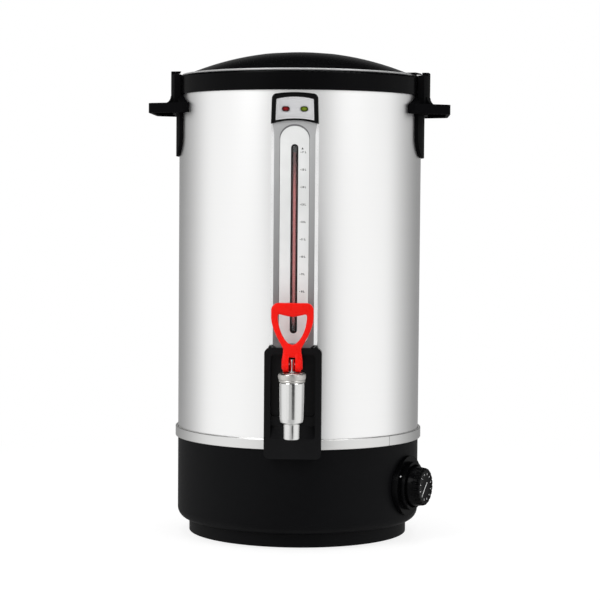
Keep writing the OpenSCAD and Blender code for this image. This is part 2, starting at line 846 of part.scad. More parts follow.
module tap_body() color([0.8, 0.81, 0.82]) difference() {
    union() {
        translate([0, -tap_y, 0]) rotate_extrude() {
            square_at = z_body + 4;
            translate([0, square_at]) square([tap_r, z_bonnet - square_at]);
            translate([0, z_body]) square([tap_r - 4, 4 + cut]);
            translate([tap_r - 4, square_at]) intersection() {
                circle(4);
                translate([0, -4]) square(4);
            }
        }
        radial(shank_d / 2, tank_in - shank_in, tap_y - tap_r + 2, z = z_inlet);
        radial(flange_d / 2, housing_floor, housing_floor + flange_t, z = z_inlet);
    }
    translate([0, -tap_y, z_seat]) cylinder(r = chamber_r, h = tap_h);
    translate([0, -tap_y, z_body - cut]) cylinder(r = spout_bore / 2, h = tap_h / 2);
    translate([0, -tap_y, z_body - cut])
        cylinder(r = spout_neck_d / 2 + run_gap, h = spout_neck_h + cut);
    radial(shank_bore / 2, tank_in - shank_in - cut, tap_y, z = z_inlet);
}

module tap_bonnet() color([0.8, 0.81, 0.82]) translate([0, -tap_y, 0]) difference() {
    disc(bonnet_d / 2, z_bonnet, z_cap);
    disc(chamber_r, z_bonnet - cut, z_cap - cap_t);
    disc(stem_r + run_gap, z_bonnet, z_cap + cut);
}

module tap_spout() color([0.8, 0.81, 0.82]) translate([0, -tap_y, 0]) difference() {
    union() {
        disc(spout_d / 2, z_spout, z_body);
        disc(spout_neck_d / 2, z_spout, z_body + spout_neck_h);
    }
    disc(spout_bore / 2, z_spout - cut, z_body + spout_neck_h + cut);
}

module tap_stem() color([0.8, 0.81, 0.82]) translate([0, -tap_y, 0]) difference() {
    union() {
        disc(stem_r, z_seat + cup_floor, z_pin + stem_above);
        disc(stem_foot_d / 2, z_seat + cup_floor, z_seat + cup_floor + stem_foot_h);
    }
    translate([-stem_d, 0, z_pin]) rotate([0, 90, 0])
        cylinder(r = pin_d / 2 + run_gap, h = 2 * stem_d);
}

module tap_seat_cup() color([0.9, 0.9, 0.88]) translate([0, -tap_y, 0]) difference() {
    disc(cup_r, z_seat, z_seat + cup_h);
    disc(stem_foot_d / 2 + run_gap, z_seat + cup_floor, z_seat + cup_floor + stem_foot_h + run_gap);
    disc(stem_r + run_gap, z_seat + cup_floor, z_seat + cup_h + cut);
}

spring_wire = 0.6;
spring_r = 6;
spring_turns = 5;
spring_z = [z_seat + cup_h + spring_wire, z_cap - cap_t - spring_wire];
spring_points = [
    for (i = [0:16 * spring_turns])
        let (t = i / (16 * spring_turns), a = 360 * spring_turns * t)
            [spring_r * cos(a), spring_r * sin(a), spring_z[0] + (spring_z[1] - spring_z[0]) * t]
];

module tap_spring() color([0.7, 0.7, 0.7]) translate([0, -tap_y, 0]) sweep(spring_points, spring_wire);

// Half of the lever's outline, from the feet up, measured from its pin
lever_side = concat(
    [[lever_foot_w / 2 - foot_corner, 2 - cam_base], [lever_foot_w / 2, 2 - cam_base + foot_corner]],
    bezier([lever_foot_w / 2, 3], [lever_foot_w / 2 - 0.7, 9], [waist_w / 2, 12], [waist_w / 2, waist_z]),
    bezier([waist_w / 2, waist_z], [waist_w / 2 + 2.8, 23], [lever_w / 2 - 1, 35], [lever_w / 2, shoulder_z]),
    arc([lever_w / 2 - lever_round, lever_h - lever_round], lever_round, 0, 90)
);
window_half = concat(
    bezier([0, window_tip], [6.5, window_tip], [window_side - 1, 34], [window_side, window_shoulder]),
    [[window_side - 1, window_corner]],
    bezier([window_side - 2, window_corner], [8, window_mid + 1], [3, window_mid], [0, window_mid])
);
cam_outline = concat(
    [[lever_t / 2, -cam_base + 1.5], [lever_t / 2 - 1.5, -cam_base], [0, -cam_base]],
    [for (a = [cam_step:cam_step:lever_tip])
        let (rho = cam_base + cam_rate * a) [-rho * sin(a), -rho * cos(a)]],
    [[-lever_t / 2 - 3, 5], [-lever_t / 2, waist_z - 4], [lever_t / 2, waist_z - 4]]
);

module tap_lever() color([0.85, 0.08, 0.04]) translate([0, -tap_y, z_pin]) difference() {
    union() {
        front_plate(-lever_t / 2, lever_t / 2) difference() {
            polygon(mirrored(lever_side));
            polygon(mirrored(window_half));
        }
        translate([-cam_w / 2, 0, 0]) rotate([90, 0, 90]) linear_extrude(cam_w) polygon(cam_outline);
    }
    translate([-fork_w / 2, -4 * lever_t, -4 * pin_h])
        cube([fork_w, 8 * lever_t, 4 * pin_h + fork_above]);
    translate([-lever_w / 2, 0, 0]) rotate([0, 90, 0])
        cylinder(r = pin_d / 2 + run_gap, h = lever_w);
}

module lever_pin() color([0.75, 0.75, 0.77]) translate([-lever_foot_w / 2, -tap_y, z_pin])
    rotate([0, 90, 0]) cylinder(r = pin_d / 2, h = lever_foot_w);

module tap_locknut() color([0.72, 0.73, 0.74]) difference() {
    hex_radial(nut_af, tank_in - washer_t - nut_h - 0.8, tank_in - washer_t - 0.8, z_inlet);
    radial(shank_d / 2 + run_gap, tank_in - 30, tank_in, z = z_inlet);
}

module tap_washers() color([0.5, 0.5, 0.48]) difference() {
    union() {
        intersection() {
            radial(inner_washer_d / 2, tank_in - washer_t - 0.8, tank_in + cut, z = z_inlet);
            disc(tank_in - 0.1, z_tank, z_mouth);
        }
        intersection() {
            radial(washer_d / 2, tank_r - 3, drum_in + cut, z = z_inlet);
            tube(tank_r + 0.1, drum_in - 0.1, z_tank, z_mouth);
        }
    }
    radial(shank_d / 2 + run_gap, tank_in - 30, drum_r, z = z_inlet);
}

// ---- gauge ----

module arched(half_w, z0, z1, foot = 0) {
    if (foot > 0) rounded(half_w, z0, z0 + 3 * foot, foot);
    translate([-half_w, z0 + foot]) square([2 * half_w, z1 - z0 - half_w / 2 - foot]);
    intersection() {
        translate([-half_w, z0]) square([2 * half_w, z1 - z0]);
        translate([0, z1 - half_w * 1.25]) circle(half_w * 1.25);
    }
}

module gauge_frame() color([0.72, 0.73, 0.74]) difference() {
    union() {
        translate([0, 0, z_gauge]) linear_extrude(gauge_h) polygon([
            [-gauge_w / 2, -drum_r + 10], [-gauge_w / 2, -gauge_y + chamfer],
            [-gauge_w / 2 + chamfer, -gauge_y], [gauge_w / 2 - chamfer, -gauge_y],
            [gauge_w / 2, -gauge_y + chamfer], [gauge_w / 2, -drum_r + 10]
        ]);
        translate([-gauge_foot_w / 2, -gauge_y, z_housing_top + seat_gap])
            cube([gauge_foot_w, gauge_proud + 10, z_gauge - z_housing_top]);
    }
    disc(drum_r + seat_gap, z_housing_top, z_gauge_top + cut);
    front_plate(gauge_y - face_t, gauge_y + cut)
        arched(face_w / 2 + 0.1, z_gauge + face_bottom - 0.1, z_gauge_top - face_top, face_round);
    front_plate(drum_r - 2, gauge_y)
        translate([-tube_r - tube_gap, z_tube]) square([tube_d + 2 * tube_gap, z_tube_top - z_tube]);
    for (z = [z_low_elbow, z_high_elbow]) front_plate(drum_r - 2, gauge_y - face_t)
        translate([-elbow_w / 2 - 0.2, z - elbow_h / 2 - 0.2]) square([elbow_w + 0.4, elbow_h + 0.4]);
}

module gauge_face() color([0.93, 0.93, 0.92]) difference() {
    front_plate(gauge_y - face_t, gauge_y - 0.2)
        arched(face_w / 2, z_gauge + face_bottom, z_gauge_top - face_top - 0.1, face_round);
    front_plate(drum_r, gauge_y + cut)
        rounded(tube_r + tube_gap, face_slot[0], face_slot[1], tube_r + tube_gap - 0.2);
}

module sight_tube() color([0.8, 0.85, 0.88, 0.5]) translate([0, -tube_y, 0])
    tube(tube_bore / 2, tube_r, z_tube, z_tube_top);

module level_stripe() color([0.8, 0.1, 0.12]) translate([0, -tube_y, 0])
    disc(stripe_r, z_tube, z_gauge_top - stripe_top);

module elbow(z, up) difference() {
    union() {
        front_plate(drum_r + 0.6, gauge_y - face_t - 0.1)
            translate([-elbow_w / 2, z - elbow_h / 2]) square([elbow_w, elbow_h]);
        radial(elbow_pipe_r, tank_in - elbow_reach, drum_r + 1, z = z);
    }
    translate([0, -tube_y, z + (up > 0 ? 2 : -elbow_h / 2 - cut)])
        cylinder(r = tube_r + run_gap, h = elbow_h / 2 - 2 + cut);
    translate([0, -tube_y, z - (up > 0 ? 0 : elbow_h / 2 - cut)])
        cylinder(r = elbow_bore_r, h = elbow_h / 2 - cut);
    radial(elbow_bore_r, tank_in - elbow_reach - cut, tube_y, z = z);
}

module gauge_lower_elbow() color([0.8, 0.8, 0.8]) elbow(z_low_elbow, 1);

module gauge_upper_elbow() color([0.8, 0.8, 0.8]) elbow(z_high_elbow, -1);

module gauge_nuts() color([0.72, 0.73, 0.74]) for (z = [z_low_elbow, z_high_elbow]) difference() {
    hex_radial(gauge_nut_af, tank_in - gauge_nut_h - 0.4, tank_in - 0.4, z);
    radial(elbow_pipe_r + run_gap, tank_in - 10, tank_in, z = z);
}

// ---- indicator lamps ----

module hood_outline(inset) arched(gauge_w / 2 - inset, z_hood + inset * 0.6, z_hood_top - inset);

module indicator_hood() color([0.04, 0.04, 0.045]) difference() {
    front_plate(drum_r - 8, hood_y) hood_outline(0);
    disc(drum_r + seat_gap, z_hood - cut, z_hood_top + cut);
    front_plate(hood_floor_y, hood_y + cut) hood_outline(hood_rim);
    front_plate(drum_r - 2, hood_y) translate([-board_w / 2 - 0.3, lamp_z - board_h / 2 - 0.3])
        square([board_w + 0.6, board_h + 0.6]);
}

module lamp_outline(grow) for (x = [-1, 0, 1])
    if (x == 0) translate([-(lamp_w - lamp_hh) / 2, -lamp_hh / 2 - grow])
        square([lamp_w - lamp_hh, lamp_hh + 2 * grow]);
    else translate([x * (lamp_w - lamp_hh) / 2, 0]) circle(lamp_hh / 2 + grow);

module indicator_panel() color([0.75, 0.76, 0.77]) difference() {
    front_plate(hood_floor_y, hood_floor_y + panel_t) hood_outline(hood_rim + 0.2);
    for (x = [-1, 1]) front_plate(hood_floor_y - cut, hood_y)
        translate([x * lamp_pitch / 2, lamp_z]) lamp_outline(0.15);
}

module lamp(x) front_plate(board_y, hood_floor_y + panel_t + lamp_proud)
    translate([x * lamp_pitch / 2, lamp_z]) lamp_outline(0);

module lamp_red() color([0.75, 0.08, 0.06]) lamp(-1);

module lamp_green() color([0.35, 0.6, 0.15]) lamp(1);

module lamp_board() color([0.1, 0.35, 0.2]) front_plate(board_y - board_t, board_y)
    translate([-board_w / 2, lamp_z - board_h / 2]) square([board_w, board_h]);

lead_inner = drum_in - 2.4;
lead_low = tank_r + 0.9;
z_run = z_lip + block[2] + 15;
lead_points = [
    [lead_x, -board_y + board_t, lamp_z],
    [lead_x, -lead_inner - 1, lamp_z],
    [lead_x, -lead_inner, lamp_z - 2],
    [lead_x, -lead_inner, z_base + lead_bend - 4],
    [lead_x, -lead_low, z_base + lead_bend - 16],
    [lead_x, -lead_low, z_shelf - 10],
    [lead_x, -heater_r, z_run + 20],
    [lead_x - 6, -20, z_run],
    [lead_x - 8, block_y - 31, z_run],
    [lead_x - 8, block_y - 3, z_run - 2],
    [lead_x - 8, block_y, z_run - 6],
    [lead_x - 8, block_y, z_lip + block[2]]
];

module lamp_lead() color([0.15, 0.15, 0.15]) sweep(lead_points, lead_r);

// ---- heater ----

module element_ring_bar(r) translate([0, 0, element_z]) rotate([0, 0, 90 + element_gap])
    rotate_extrude(angle = 360 - 2 * element_gap) translate([element_ring, 0]) circle(r);

module heater_plate() color([0.68, 0.69, 0.7]) difference() {
    disc(heater_r, z_tank - heater_t, z_tank);
    element_ring_bar(element_r + run_gap);
}

module heating_element() color([0.35, 0.34, 0.33]) {
    element_ring_bar(element_r);
    for (a = [90 - element_gap, 90 + element_gap]) rotate([0, 0, a])
        translate([element_ring, 0, element_z]) {
            translate([0, 0, -element_drop]) cylinder(r = element_r + 0.4, h = element_drop + 1);
            translate([0, 0, -element_drop - terminal_l]) cylinder(r = terminal_r, h = terminal_l + cut);
        }
}

module heater_bracket() color([0.7, 0.7, 0.72]) {
    translate([-bar_l / 2, -bar_w / 2, z_bar]) cube([bar_l, bar_w, bar_t]);
    disc(4, z_bar - 7, z_tank - heater_t);
    translate([0, 0, z_bar - 5]) cylinder(r = 8, h = 5, $fn = 6);
}

module thermal_cutout() color([0.2, 0.2, 0.2]) translate([0, -cutout_y, z_tank - heater_t]) {
    translate([0, 0, -cutout_h]) cylinder(r = cutout_r, h = cutout_h);
    for (x = [-1, 1]) translate([x * cutout_x - tab_w / 2, -tab_t / 2, -cutout_h - tab_h])
        cube([tab_w, tab_t, tab_h + cut]);
}

// ---- heat control ----

module thermostat_body() color([0.25, 0.25, 0.25]) around(knob_angle) difference() {
    union() {
        front_plate(thermostat_y[0], thermostat_y[1])
            rounded(thermostat_w / 2, z_knob - thermostat_h / 2, z_knob + thermostat_h / 2, 3);
        radial(bushing_flange, thermostat_y[1] - cut, base_in - seat_gap - 0.2, z = z_knob);
        radial(bushing_r, thermostat_y[1] - cut, bezel_y - 0.6, z = z_knob);
    }
    radial(shaft_d / 2 + run_gap, thermostat_y[0] + 10, knob_y, z = z_knob);
}

module thermostat_shaft() color([0.75, 0.75, 0.75]) around(knob_angle)
    radial(shaft_d / 2, thermostat_y[0] + 10 + seat_gap, knob_y + knob_l - 3, z = z_knob);

module knob() color([0.05, 0.05, 0.055]) around(knob_angle) difference() {
    union() {
        radial(knob_r, knob_y, knob_y + knob_skirt, z = z_knob);
        radial(knob_face_r, knob_y, knob_y + knob_l, z = z_knob);
    }
    radial(knob_face_r - 4, knob_y - cut, knob_y + knob_l - 8, z = z_knob);
    for (a = [0:360 / flute_count:359]) translate([0, 0, z_knob]) rotate([0, a, 0])
        radial(flute_r, knob_y + knob_skirt + 0.4, knob_y + knob_l + cut, x = knob_face_r + flute_r / 2);
    radial(shaft_d / 2 + run_gap, knob_y - cut, knob_y + knob_l - 3 + seat_gap, z = z_knob);
}

module knob_bezel() color([0.03, 0.03, 0.035]) around(knob_angle) difference() {
    union() {
        radial(bezel_d / 2, drum_r - 6, bezel_y, z = z_knob);
        difference() {
            radial(bezel_collar[1], drum_r, bezel_y + bezel_collar_h, z = z_knob);
            radial(bezel_collar[0], drum_r, bezel_y + bezel_collar_h + cut, z = z_knob);
        }
    }
    disc(drum_r + seat_gap, z_knob - bezel_d, z_knob + bezel_d);
    radial(bushing_r + run_gap, drum_r - 7, bezel_y + cut, z = z_knob);
}

bulb_z = z_tank - bulb_r - 0.2;
capillary_points = [
    [-bulb_l / 2, -bulb_y, bulb_z],
    [-bulb_l / 2 - 5, -bulb_y, bulb_z - 1],
    [-bulb_l / 2 - 9, -bulb_y, bulb_z - 8],
    [-bulb_l / 2 - 4, -bulb_y - 2, bulb_z - 30],
    [-12, -bulb_y - 4, z_knob + thermostat_h / 2 + 14],
    [-10, -bulb_y - 6, z_knob + thermostat_h / 2]
];

module capillary_bulb() color([0.72, 0.45, 0.3]) around(knob_angle) {
    translate([-bulb_l / 2, -bulb_y, bulb_z]) rotate([0, 90, 0]) cylinder(r = bulb_r, h = bulb_l);
    sweep(capillary_points, capillary_r);
}

// ---- supply ----

module terminal_block() color([0.85, 0.85, 0.8])
    translate([-block[0] / 2, block_y - block[1] / 2, z_lip]) cube(block);

z_block = z_lip + block[2];
z_terminal = element_z - element_drop - terminal_l;
z_tab = z_tank - heater_t - cutout_h - tab_h;
terminal_x = element_ring * sin(element_gap);
terminal_y = element_ring * cos(element_gap);
wire_in = inlet_y - inlet_t - inlet_deep - 6;
control_x = thermostat_y[0] * sin(knob_angle);
control_y = -thermostat_y[0] * cos(knob_angle);
wires = [
    [[-pin_pitch / 2, wire_in, inlet_z], [-pin_pitch / 2, wire_in - 12, inlet_z],
     [-10, block_y + 11, z_run + 8], [-12, block_y, z_run - 2], [-12, block_y, z_block]],
    [[pin_pitch / 2, wire_in, inlet_z], [pin_pitch / 2, wire_in - 12, inlet_z],
     [12, block_y + 13, z_run + 10], [14, block_y, z_run], [14, block_y, z_block]],
    [[0, wire_in, inlet_z - pin_drop], [0, wire_in - 12, inlet_z - pin_drop],
     [0, block_y + 11, z_run + 4], [0, block_y, z_run - 4], [0, block_y, z_block]],
    [[-terminal_x, terminal_y, z_terminal], [-terminal_x, terminal_y, z_terminal - 20],
     [-20, block_y - 5, z_run + 16], [-16.5, block_y, z_run - 2], [-16.5, block_y, z_block]],
    [[terminal_x, terminal_y, z_terminal], [terminal_x, terminal_y - 2, z_terminal - 12],
     [16, 20, z_tab - 22], [cutout_x, 7 - cutout_y, z_tab - 18], [cutout_x, -cutout_y, z_tab - 8],
     [cutout_x, -cutout_y, z_tab]],
    [[-cutout_x, -cutout_y, z_tab], [-cutout_x, -cutout_y, z_tab - 10],
     [20, -cutout_y - 17, z_tab - 24], [control_x - 26.6, control_y + 2.3, z_knob + 15],
     [control_x - 10, control_y + 4.6, z_knob + 8], [control_x, control_y, z_knob + 8]],
    [[control_x, control_y, z_knob - 6], [control_x - 10, control_y + 4.6, z_knob - 6],
     [control_x - 40.6, 20, z_run + 6], [22, block_y - 9, z_run + 2], [18, block_y, z_run - 6],
     [18, block_y, z_block]]
];

module wiring() color([0.6, 0.3, 0.15]) for (w = wires) sweep(w, wire_r);

module inlet_blades(y0, y1) for (x = [-1, 0, 1])
    front_plate(y0, y1)
        translate([x * pin_pitch / 2 - blade_w / 2,
                   inlet_z - (x == 0 ? pin_drop : 0) - blade_h / 2])
            square([blade_w, blade_h]);

module power_inlet() color([0.04, 0.04, 0.04]) around(180) difference() {
    union() {
        front_plate(pad_y, inlet_y)
            rounded(pad_w / 2 - 4, inlet_z - inlet_hh / 2 - 2, inlet_z + inlet_hh / 2 + 2, 5);
        front_plate(pad_y - inlet_deep, pad_y)
            rounded(inlet_w / 2 - 0.3, inlet_z - inlet_hh / 2 + 0.3, inlet_z + inlet_hh / 2 - 0.3, 2);
    }
    front_plate(inlet_y - socket_deep, inlet_y + cut)
        rounded(socket_w / 2, inlet_z - socket_h / 2, inlet_z + socket_h / 2, 2);
    for (x = [-1, 0, 1]) front_plate(pad_y - inlet_deep - cut, inlet_y)
        translate([x * pin_pitch / 2 - blade_w / 2 - run_gap,
                   inlet_z - (x == 0 ? pin_drop : 0) - blade_h / 2 - run_gap])
            square([blade_w + 2 * run_gap, blade_h + 2 * run_gap]);
    for (x = [-1, 1]) radial(screw_d / 2 + 0.2, pad_y - cut, inlet_y + cut, x * inlet_screw_x, inlet_z);
}

module inlet_pins() color([0.75, 0.72, 0.6]) around(180)
    inlet_blades(pad_y - inlet_deep - 6, inlet_y - 2);

module inlet_screws() color([0.7, 0.7, 0.72]) around(180) for (x = [-1, 1])
    translate([x * inlet_screw_x, -inlet_y, inlet_z]) rotate([-90, 0, 0])
        screw(3, 0.6, screw_d / 2, 10);

// ---- assembly ----

placed() {
    base_shell();
    base_plate();
    base_screws();
    feet();
    drum_shell();
    lower_band();
    inner_tank();
    insulation();
    collar_ring();
    tank_support();
    handle_left();
    handle_right();
    handle_screws();
    lid_dome();
    lid_liner();
    lid_gasket();
    tap_housing();
    housing_screw();
    tap_body();
    tap_bonnet();
    tap_spout();
    tap_stem();
    tap_seat_cup();
    tap_spring();
    tap_lever();
    lever_pin();
    tap_locknut();
    tap_washers();
    gauge_frame();
    gauge_face();
    sight_tube();
    level_stripe();
    gauge_upper_elbow();
    gauge_lower_elbow();
    gauge_nuts();
    indicator_hood();
    indicator_panel();
    lamp_red();
    lamp_green();
    lamp_board();
    lamp_lead();
    heater_plate();
    heating_element();
    heater_bracket();
    thermal_cutout();
    thermostat_body();
    thermostat_shaft();
    knob();
    knob_bezel();
    capillary_bulb();
    terminal_block();
    wiring();
    power_inlet();
    inlet_pins();
    inlet_screws();
}
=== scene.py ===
import json
import math

import bmesh
import bpy
from mathutils import Matrix, Vector
from mathutils.geometry import tessellate_polygon


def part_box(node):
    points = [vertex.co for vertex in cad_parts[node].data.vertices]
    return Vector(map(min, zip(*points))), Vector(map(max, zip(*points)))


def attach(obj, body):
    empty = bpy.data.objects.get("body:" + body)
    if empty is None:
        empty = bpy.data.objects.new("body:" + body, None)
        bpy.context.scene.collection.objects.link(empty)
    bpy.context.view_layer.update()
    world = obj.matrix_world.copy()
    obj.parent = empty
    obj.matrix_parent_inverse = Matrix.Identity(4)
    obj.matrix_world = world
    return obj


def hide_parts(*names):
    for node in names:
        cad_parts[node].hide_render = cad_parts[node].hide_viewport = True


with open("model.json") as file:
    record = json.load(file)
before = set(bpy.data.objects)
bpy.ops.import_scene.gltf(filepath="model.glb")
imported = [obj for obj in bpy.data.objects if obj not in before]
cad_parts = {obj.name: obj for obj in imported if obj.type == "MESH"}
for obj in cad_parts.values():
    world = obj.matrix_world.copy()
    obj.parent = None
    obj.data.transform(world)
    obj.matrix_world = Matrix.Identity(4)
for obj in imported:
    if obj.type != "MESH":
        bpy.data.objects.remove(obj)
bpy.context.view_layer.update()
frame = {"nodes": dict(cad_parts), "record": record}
NODES = frame["nodes"]
MM = 0.001


# ---- places, all read from the frame ----

def middle(node):
    low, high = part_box(node)
    return (low + high) / 2


def spans(node):
    low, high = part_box(node)
    return high - low


def top_z(node):
    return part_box(node)[1].z / MM


def low_z(node):
    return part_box(node)[0].z / MM


def front_y(node):
    return (AXIS.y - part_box(node)[0].y) / MM


AXIS = Vector((0.0, middle("collar_ring").y, 0.0))


def placed(name, data):
    """A new object in the scene."""
    obj = bpy.data.objects.new(name, data)
    bpy.context.scene.collection.objects.link(obj)
    return obj


# ---- camera ----

def make_camera():
    """The photograph's camera: a long lens a little above the middle of the urn, to its right."""
    focal_px, frame_px = 1867.1, 600.0
    distance, height = 2.176, 0.384
    side, down, roll = math.radians(2.3), math.radians(3.0), math.radians(0.46)
    yaw = math.atan(1.0 / focal_px)
    data = bpy.data.cameras.new("camera")
    data.sensor_width = 36.0
    data.lens = focal_px / frame_px * data.sensor_width
    cam = placed("camera", data)
    cam.location = AXIS + Vector((distance * math.sin(side), -distance * math.cos(side), height))
    turn = Matrix.Rotation(side - yaw, 4, "Z")
    tilt = Matrix.Rotation(math.pi / 2 - down, 4, "X")
    cam.matrix_world = Matrix.Translation(cam.location) @ turn @ tilt @ Matrix.Rotation(roll, 4, "Z")
    bpy.context.scene.camera = cam


# ---- shader helpers ----

def add_node(tree, kind, links=None, **values):
    """A node with its properties and, by socket, its links or constants."""
    made = tree.nodes.new(kind)
    for key, value in values.items():
        setattr(made, key, value)
    for key, value in (links or {}).items():
        if isinstance(value, bpy.types.NodeSocket):
            tree.links.new(value, made.inputs[key])
        else:
            made.inputs[key].default_value = value
    return made


class Shader:
    """Builds one node material from a principled shader."""

    def __init__(self, name, **sockets):
        self.material = bpy.data.materials.new(name)
        self.material.use_nodes = True
        self.tree = self.material.node_tree
        self.bsdf = next(n for n in self.tree.nodes if n.type == "BSDF_PRINCIPLED")
        for key, value in sockets.items():
            self.bsdf.inputs[key.replace("_", " ")].default_value = value

    def node(self, kind, links=None, **values):
        return add_node(self.tree, kind, links, **values)

    def place(self, kind="Object"):
        """Where a point is: Object in metres, or Generated from 0 to 1 across the mesh's box."""
        return self.node("ShaderNodeTexCoord").outputs[kind]

    def math_node(self, operation, *inputs):
        return self.node("ShaderNodeMath", dict(enumerate(inputs)), operation=operation).outputs[0]

    def vector_node(self, operation, *inputs, output="Vector"):
        made = self.node("ShaderNodeVectorMath", dict(enumerate(inputs)), operation=operation)
        return made.outputs[output]

    def noise(self, scale, stretch=(1, 1, 1), detail=4.0, roughness=0.5):
        place = self.node("ShaderNodeMapping", {"Vector": self.place(), "Scale": stretch}).outputs["Vector"]
        return self.node("ShaderNodeTexNoise", {
            "Vector": place, "Scale": scale, "Detail": detail, "Roughness": roughness}).outputs["Fac"]

    def ramp(self, factor, stops):
        made = self.node("ShaderNodeValToRGB", {"Fac": factor})
        elements = made.color_ramp.elements
        while len(elements) < len(stops):
            elements.new(0.5)
        for element, (at, colour) in zip(elements, stops):
            element.position = at
            element.color = (*colour[:3], 1)
        return made.outputs["Color"]

    def rough(self, factor, low, high):
        """Roughness that goes from low to high over the middle of a noise's range."""
        spread = self.node("ShaderNodeMapRange", {
            "Value": factor, "From Min": 0.3, "From Max": 0.7, "To Min": low, "To Max": high})
        self.link(spread.outputs["Result"], "Roughness")

    def glow(self, colour):
        return self.node("ShaderNodeEmission", {"Color": colour, "Strength": 1.0}).outputs[0]

    def surface(self, socket):
        out = next(n for n in self.tree.nodes if n.type == "OUTPUT_MATERIAL")
        self.tree.links.new(socket, out.inputs["Surface"])

    def link(self, socket, target):
        self.tree.links.new(socket, self.bsdf.inputs[target])

    def bump(self, height, strength, distance):
        made = self.node("ShaderNodeBump", {
            "Height": height, "Strength": strength, "Distance": distance})
        self.link(made.outputs["Normal"], "Normal")


def shade(colour, factor):
    return tuple(c * factor for c in colour[:3])


def brushed(name, colour, rough, lines=(3, 3, 900)):
    """Metal with fine lines, drawn around the drum unless lines says otherwise."""
    s = Shader(name, Metallic=1.0)
    grain = s.noise(1.0, lines, detail=3.0, roughness=0.7)
    cloud = s.noise(9.0, detail=2.0)
    s.link(s.ramp(grain, [(0.3, shade(colour, 0.994)), (0.7, shade(colour, 1.004))]), "Base Color")
    s.rough(s.math_node("MULTIPLY", grain, cloud), rough * 0.88, rough * 1.15)
    s.bump(grain, 0.045, 0.00004)
    return s.material


def polished(name, colour, rough):
    s = Shader(name, Metallic=1.0)
    smear = s.noise(60.0, detail=5.0)
    s.link(s.ramp(smear, [(0.35, shade(colour, 0.97)), (0.65, colour)]), "Base Color")
    s.rough(smear, rough * 0.7, rough * 1.4)
    s.bump(s.noise(500.0), 0.08, 0.00002)
    return s.material


def moulded(name, colour, rough, specular, grain=900.0, depth=0.3, metal=0.0):
    s = Shader(name, Specular_IOR_Level=specular, Metallic=metal)
    fine = s.noise(grain, detail=3.0)
    broad = s.noise(14.0, detail=3.0)
    s.link(s.ramp(broad, [(0.3, shade(colour, 0.88)), (0.7, shade(colour, 1.1))]), "Base Color")
    s.rough(fine, rough * 0.85, rough * 1.15)
    s.bump(fine, depth, 0.00003)
    return s.material


def graded(name, node, stops, metal=0.35, rough=0.36):
    """Moulded finish whose colour changes with the height, given in mm, of a point of one node."""
    s = Shader(name, Metallic=metal)
    height = s.node("ShaderNodeSeparateXYZ", {0: s.place("Generated")}).outputs["Z"]
    low, high = low_z(node), top_z(node)
    fine = s.noise(900.0, detail=3.0)
    s.link(s.ramp(height, [((z - low) / (high - low), colour) for z, colour in stops]), "Base Color")
    s.rough(fine, rough * 0.85, rough * 1.15)
    s.bump(fine, 0.2, 0.00003)
    return s.material


def lens(name, glow, rim):
    """A lamp's lens, brighter towards its middle."""
    s = Shader(name, Specular_IOR_Level=0.12)
    away = s.vector_node("SUBTRACT", s.place("Generated"), (0.5, 0.5, 0.5))
    flat = s.vector_node("MULTIPLY", away, (1, 0, 1))
    reach = s.vector_node("LENGTH", flat, output="Value")
    s.link(s.ramp(reach, [(0.12, glow), (0.5, rim)]), "Base Color")
    fine = s.noise(300.0)
    s.rough(fine, 0.2, 0.3)
    s.bump(fine, 0.05, 0.00003)
    return s.material


def clear(name):
    """The sight tube: almost see-through, with faint streaks along it."""
    s = Shader(name, IOR=1.45, Alpha=0.07, Specular_IOR_Level=0.3)
    streak = s.noise(1.0, (300, 300, 12))
    s.link(s.ramp(streak, [(0.3, (0.5, 0.5, 0.5)), (0.7, (0.6, 0.6, 0.6))]), "Base Color")
    s.rough(streak, 0.04, 0.1)
    return s.material


def fibrous(name, colour):
    s = Shader(name, Roughness=0.95, Specular_IOR_Level=0.1)
    strands = s.noise(240.0, (1, 1, 0.3), detail=8.0, roughness=0.7)
    s.link(s.ramp(strands, [(0.3, shade(colour, 0.7)), (0.7, shade(colour, 1.15))]), "Base Color")
    s.bump(strands, 0.8, 0.0008)
    return s.material


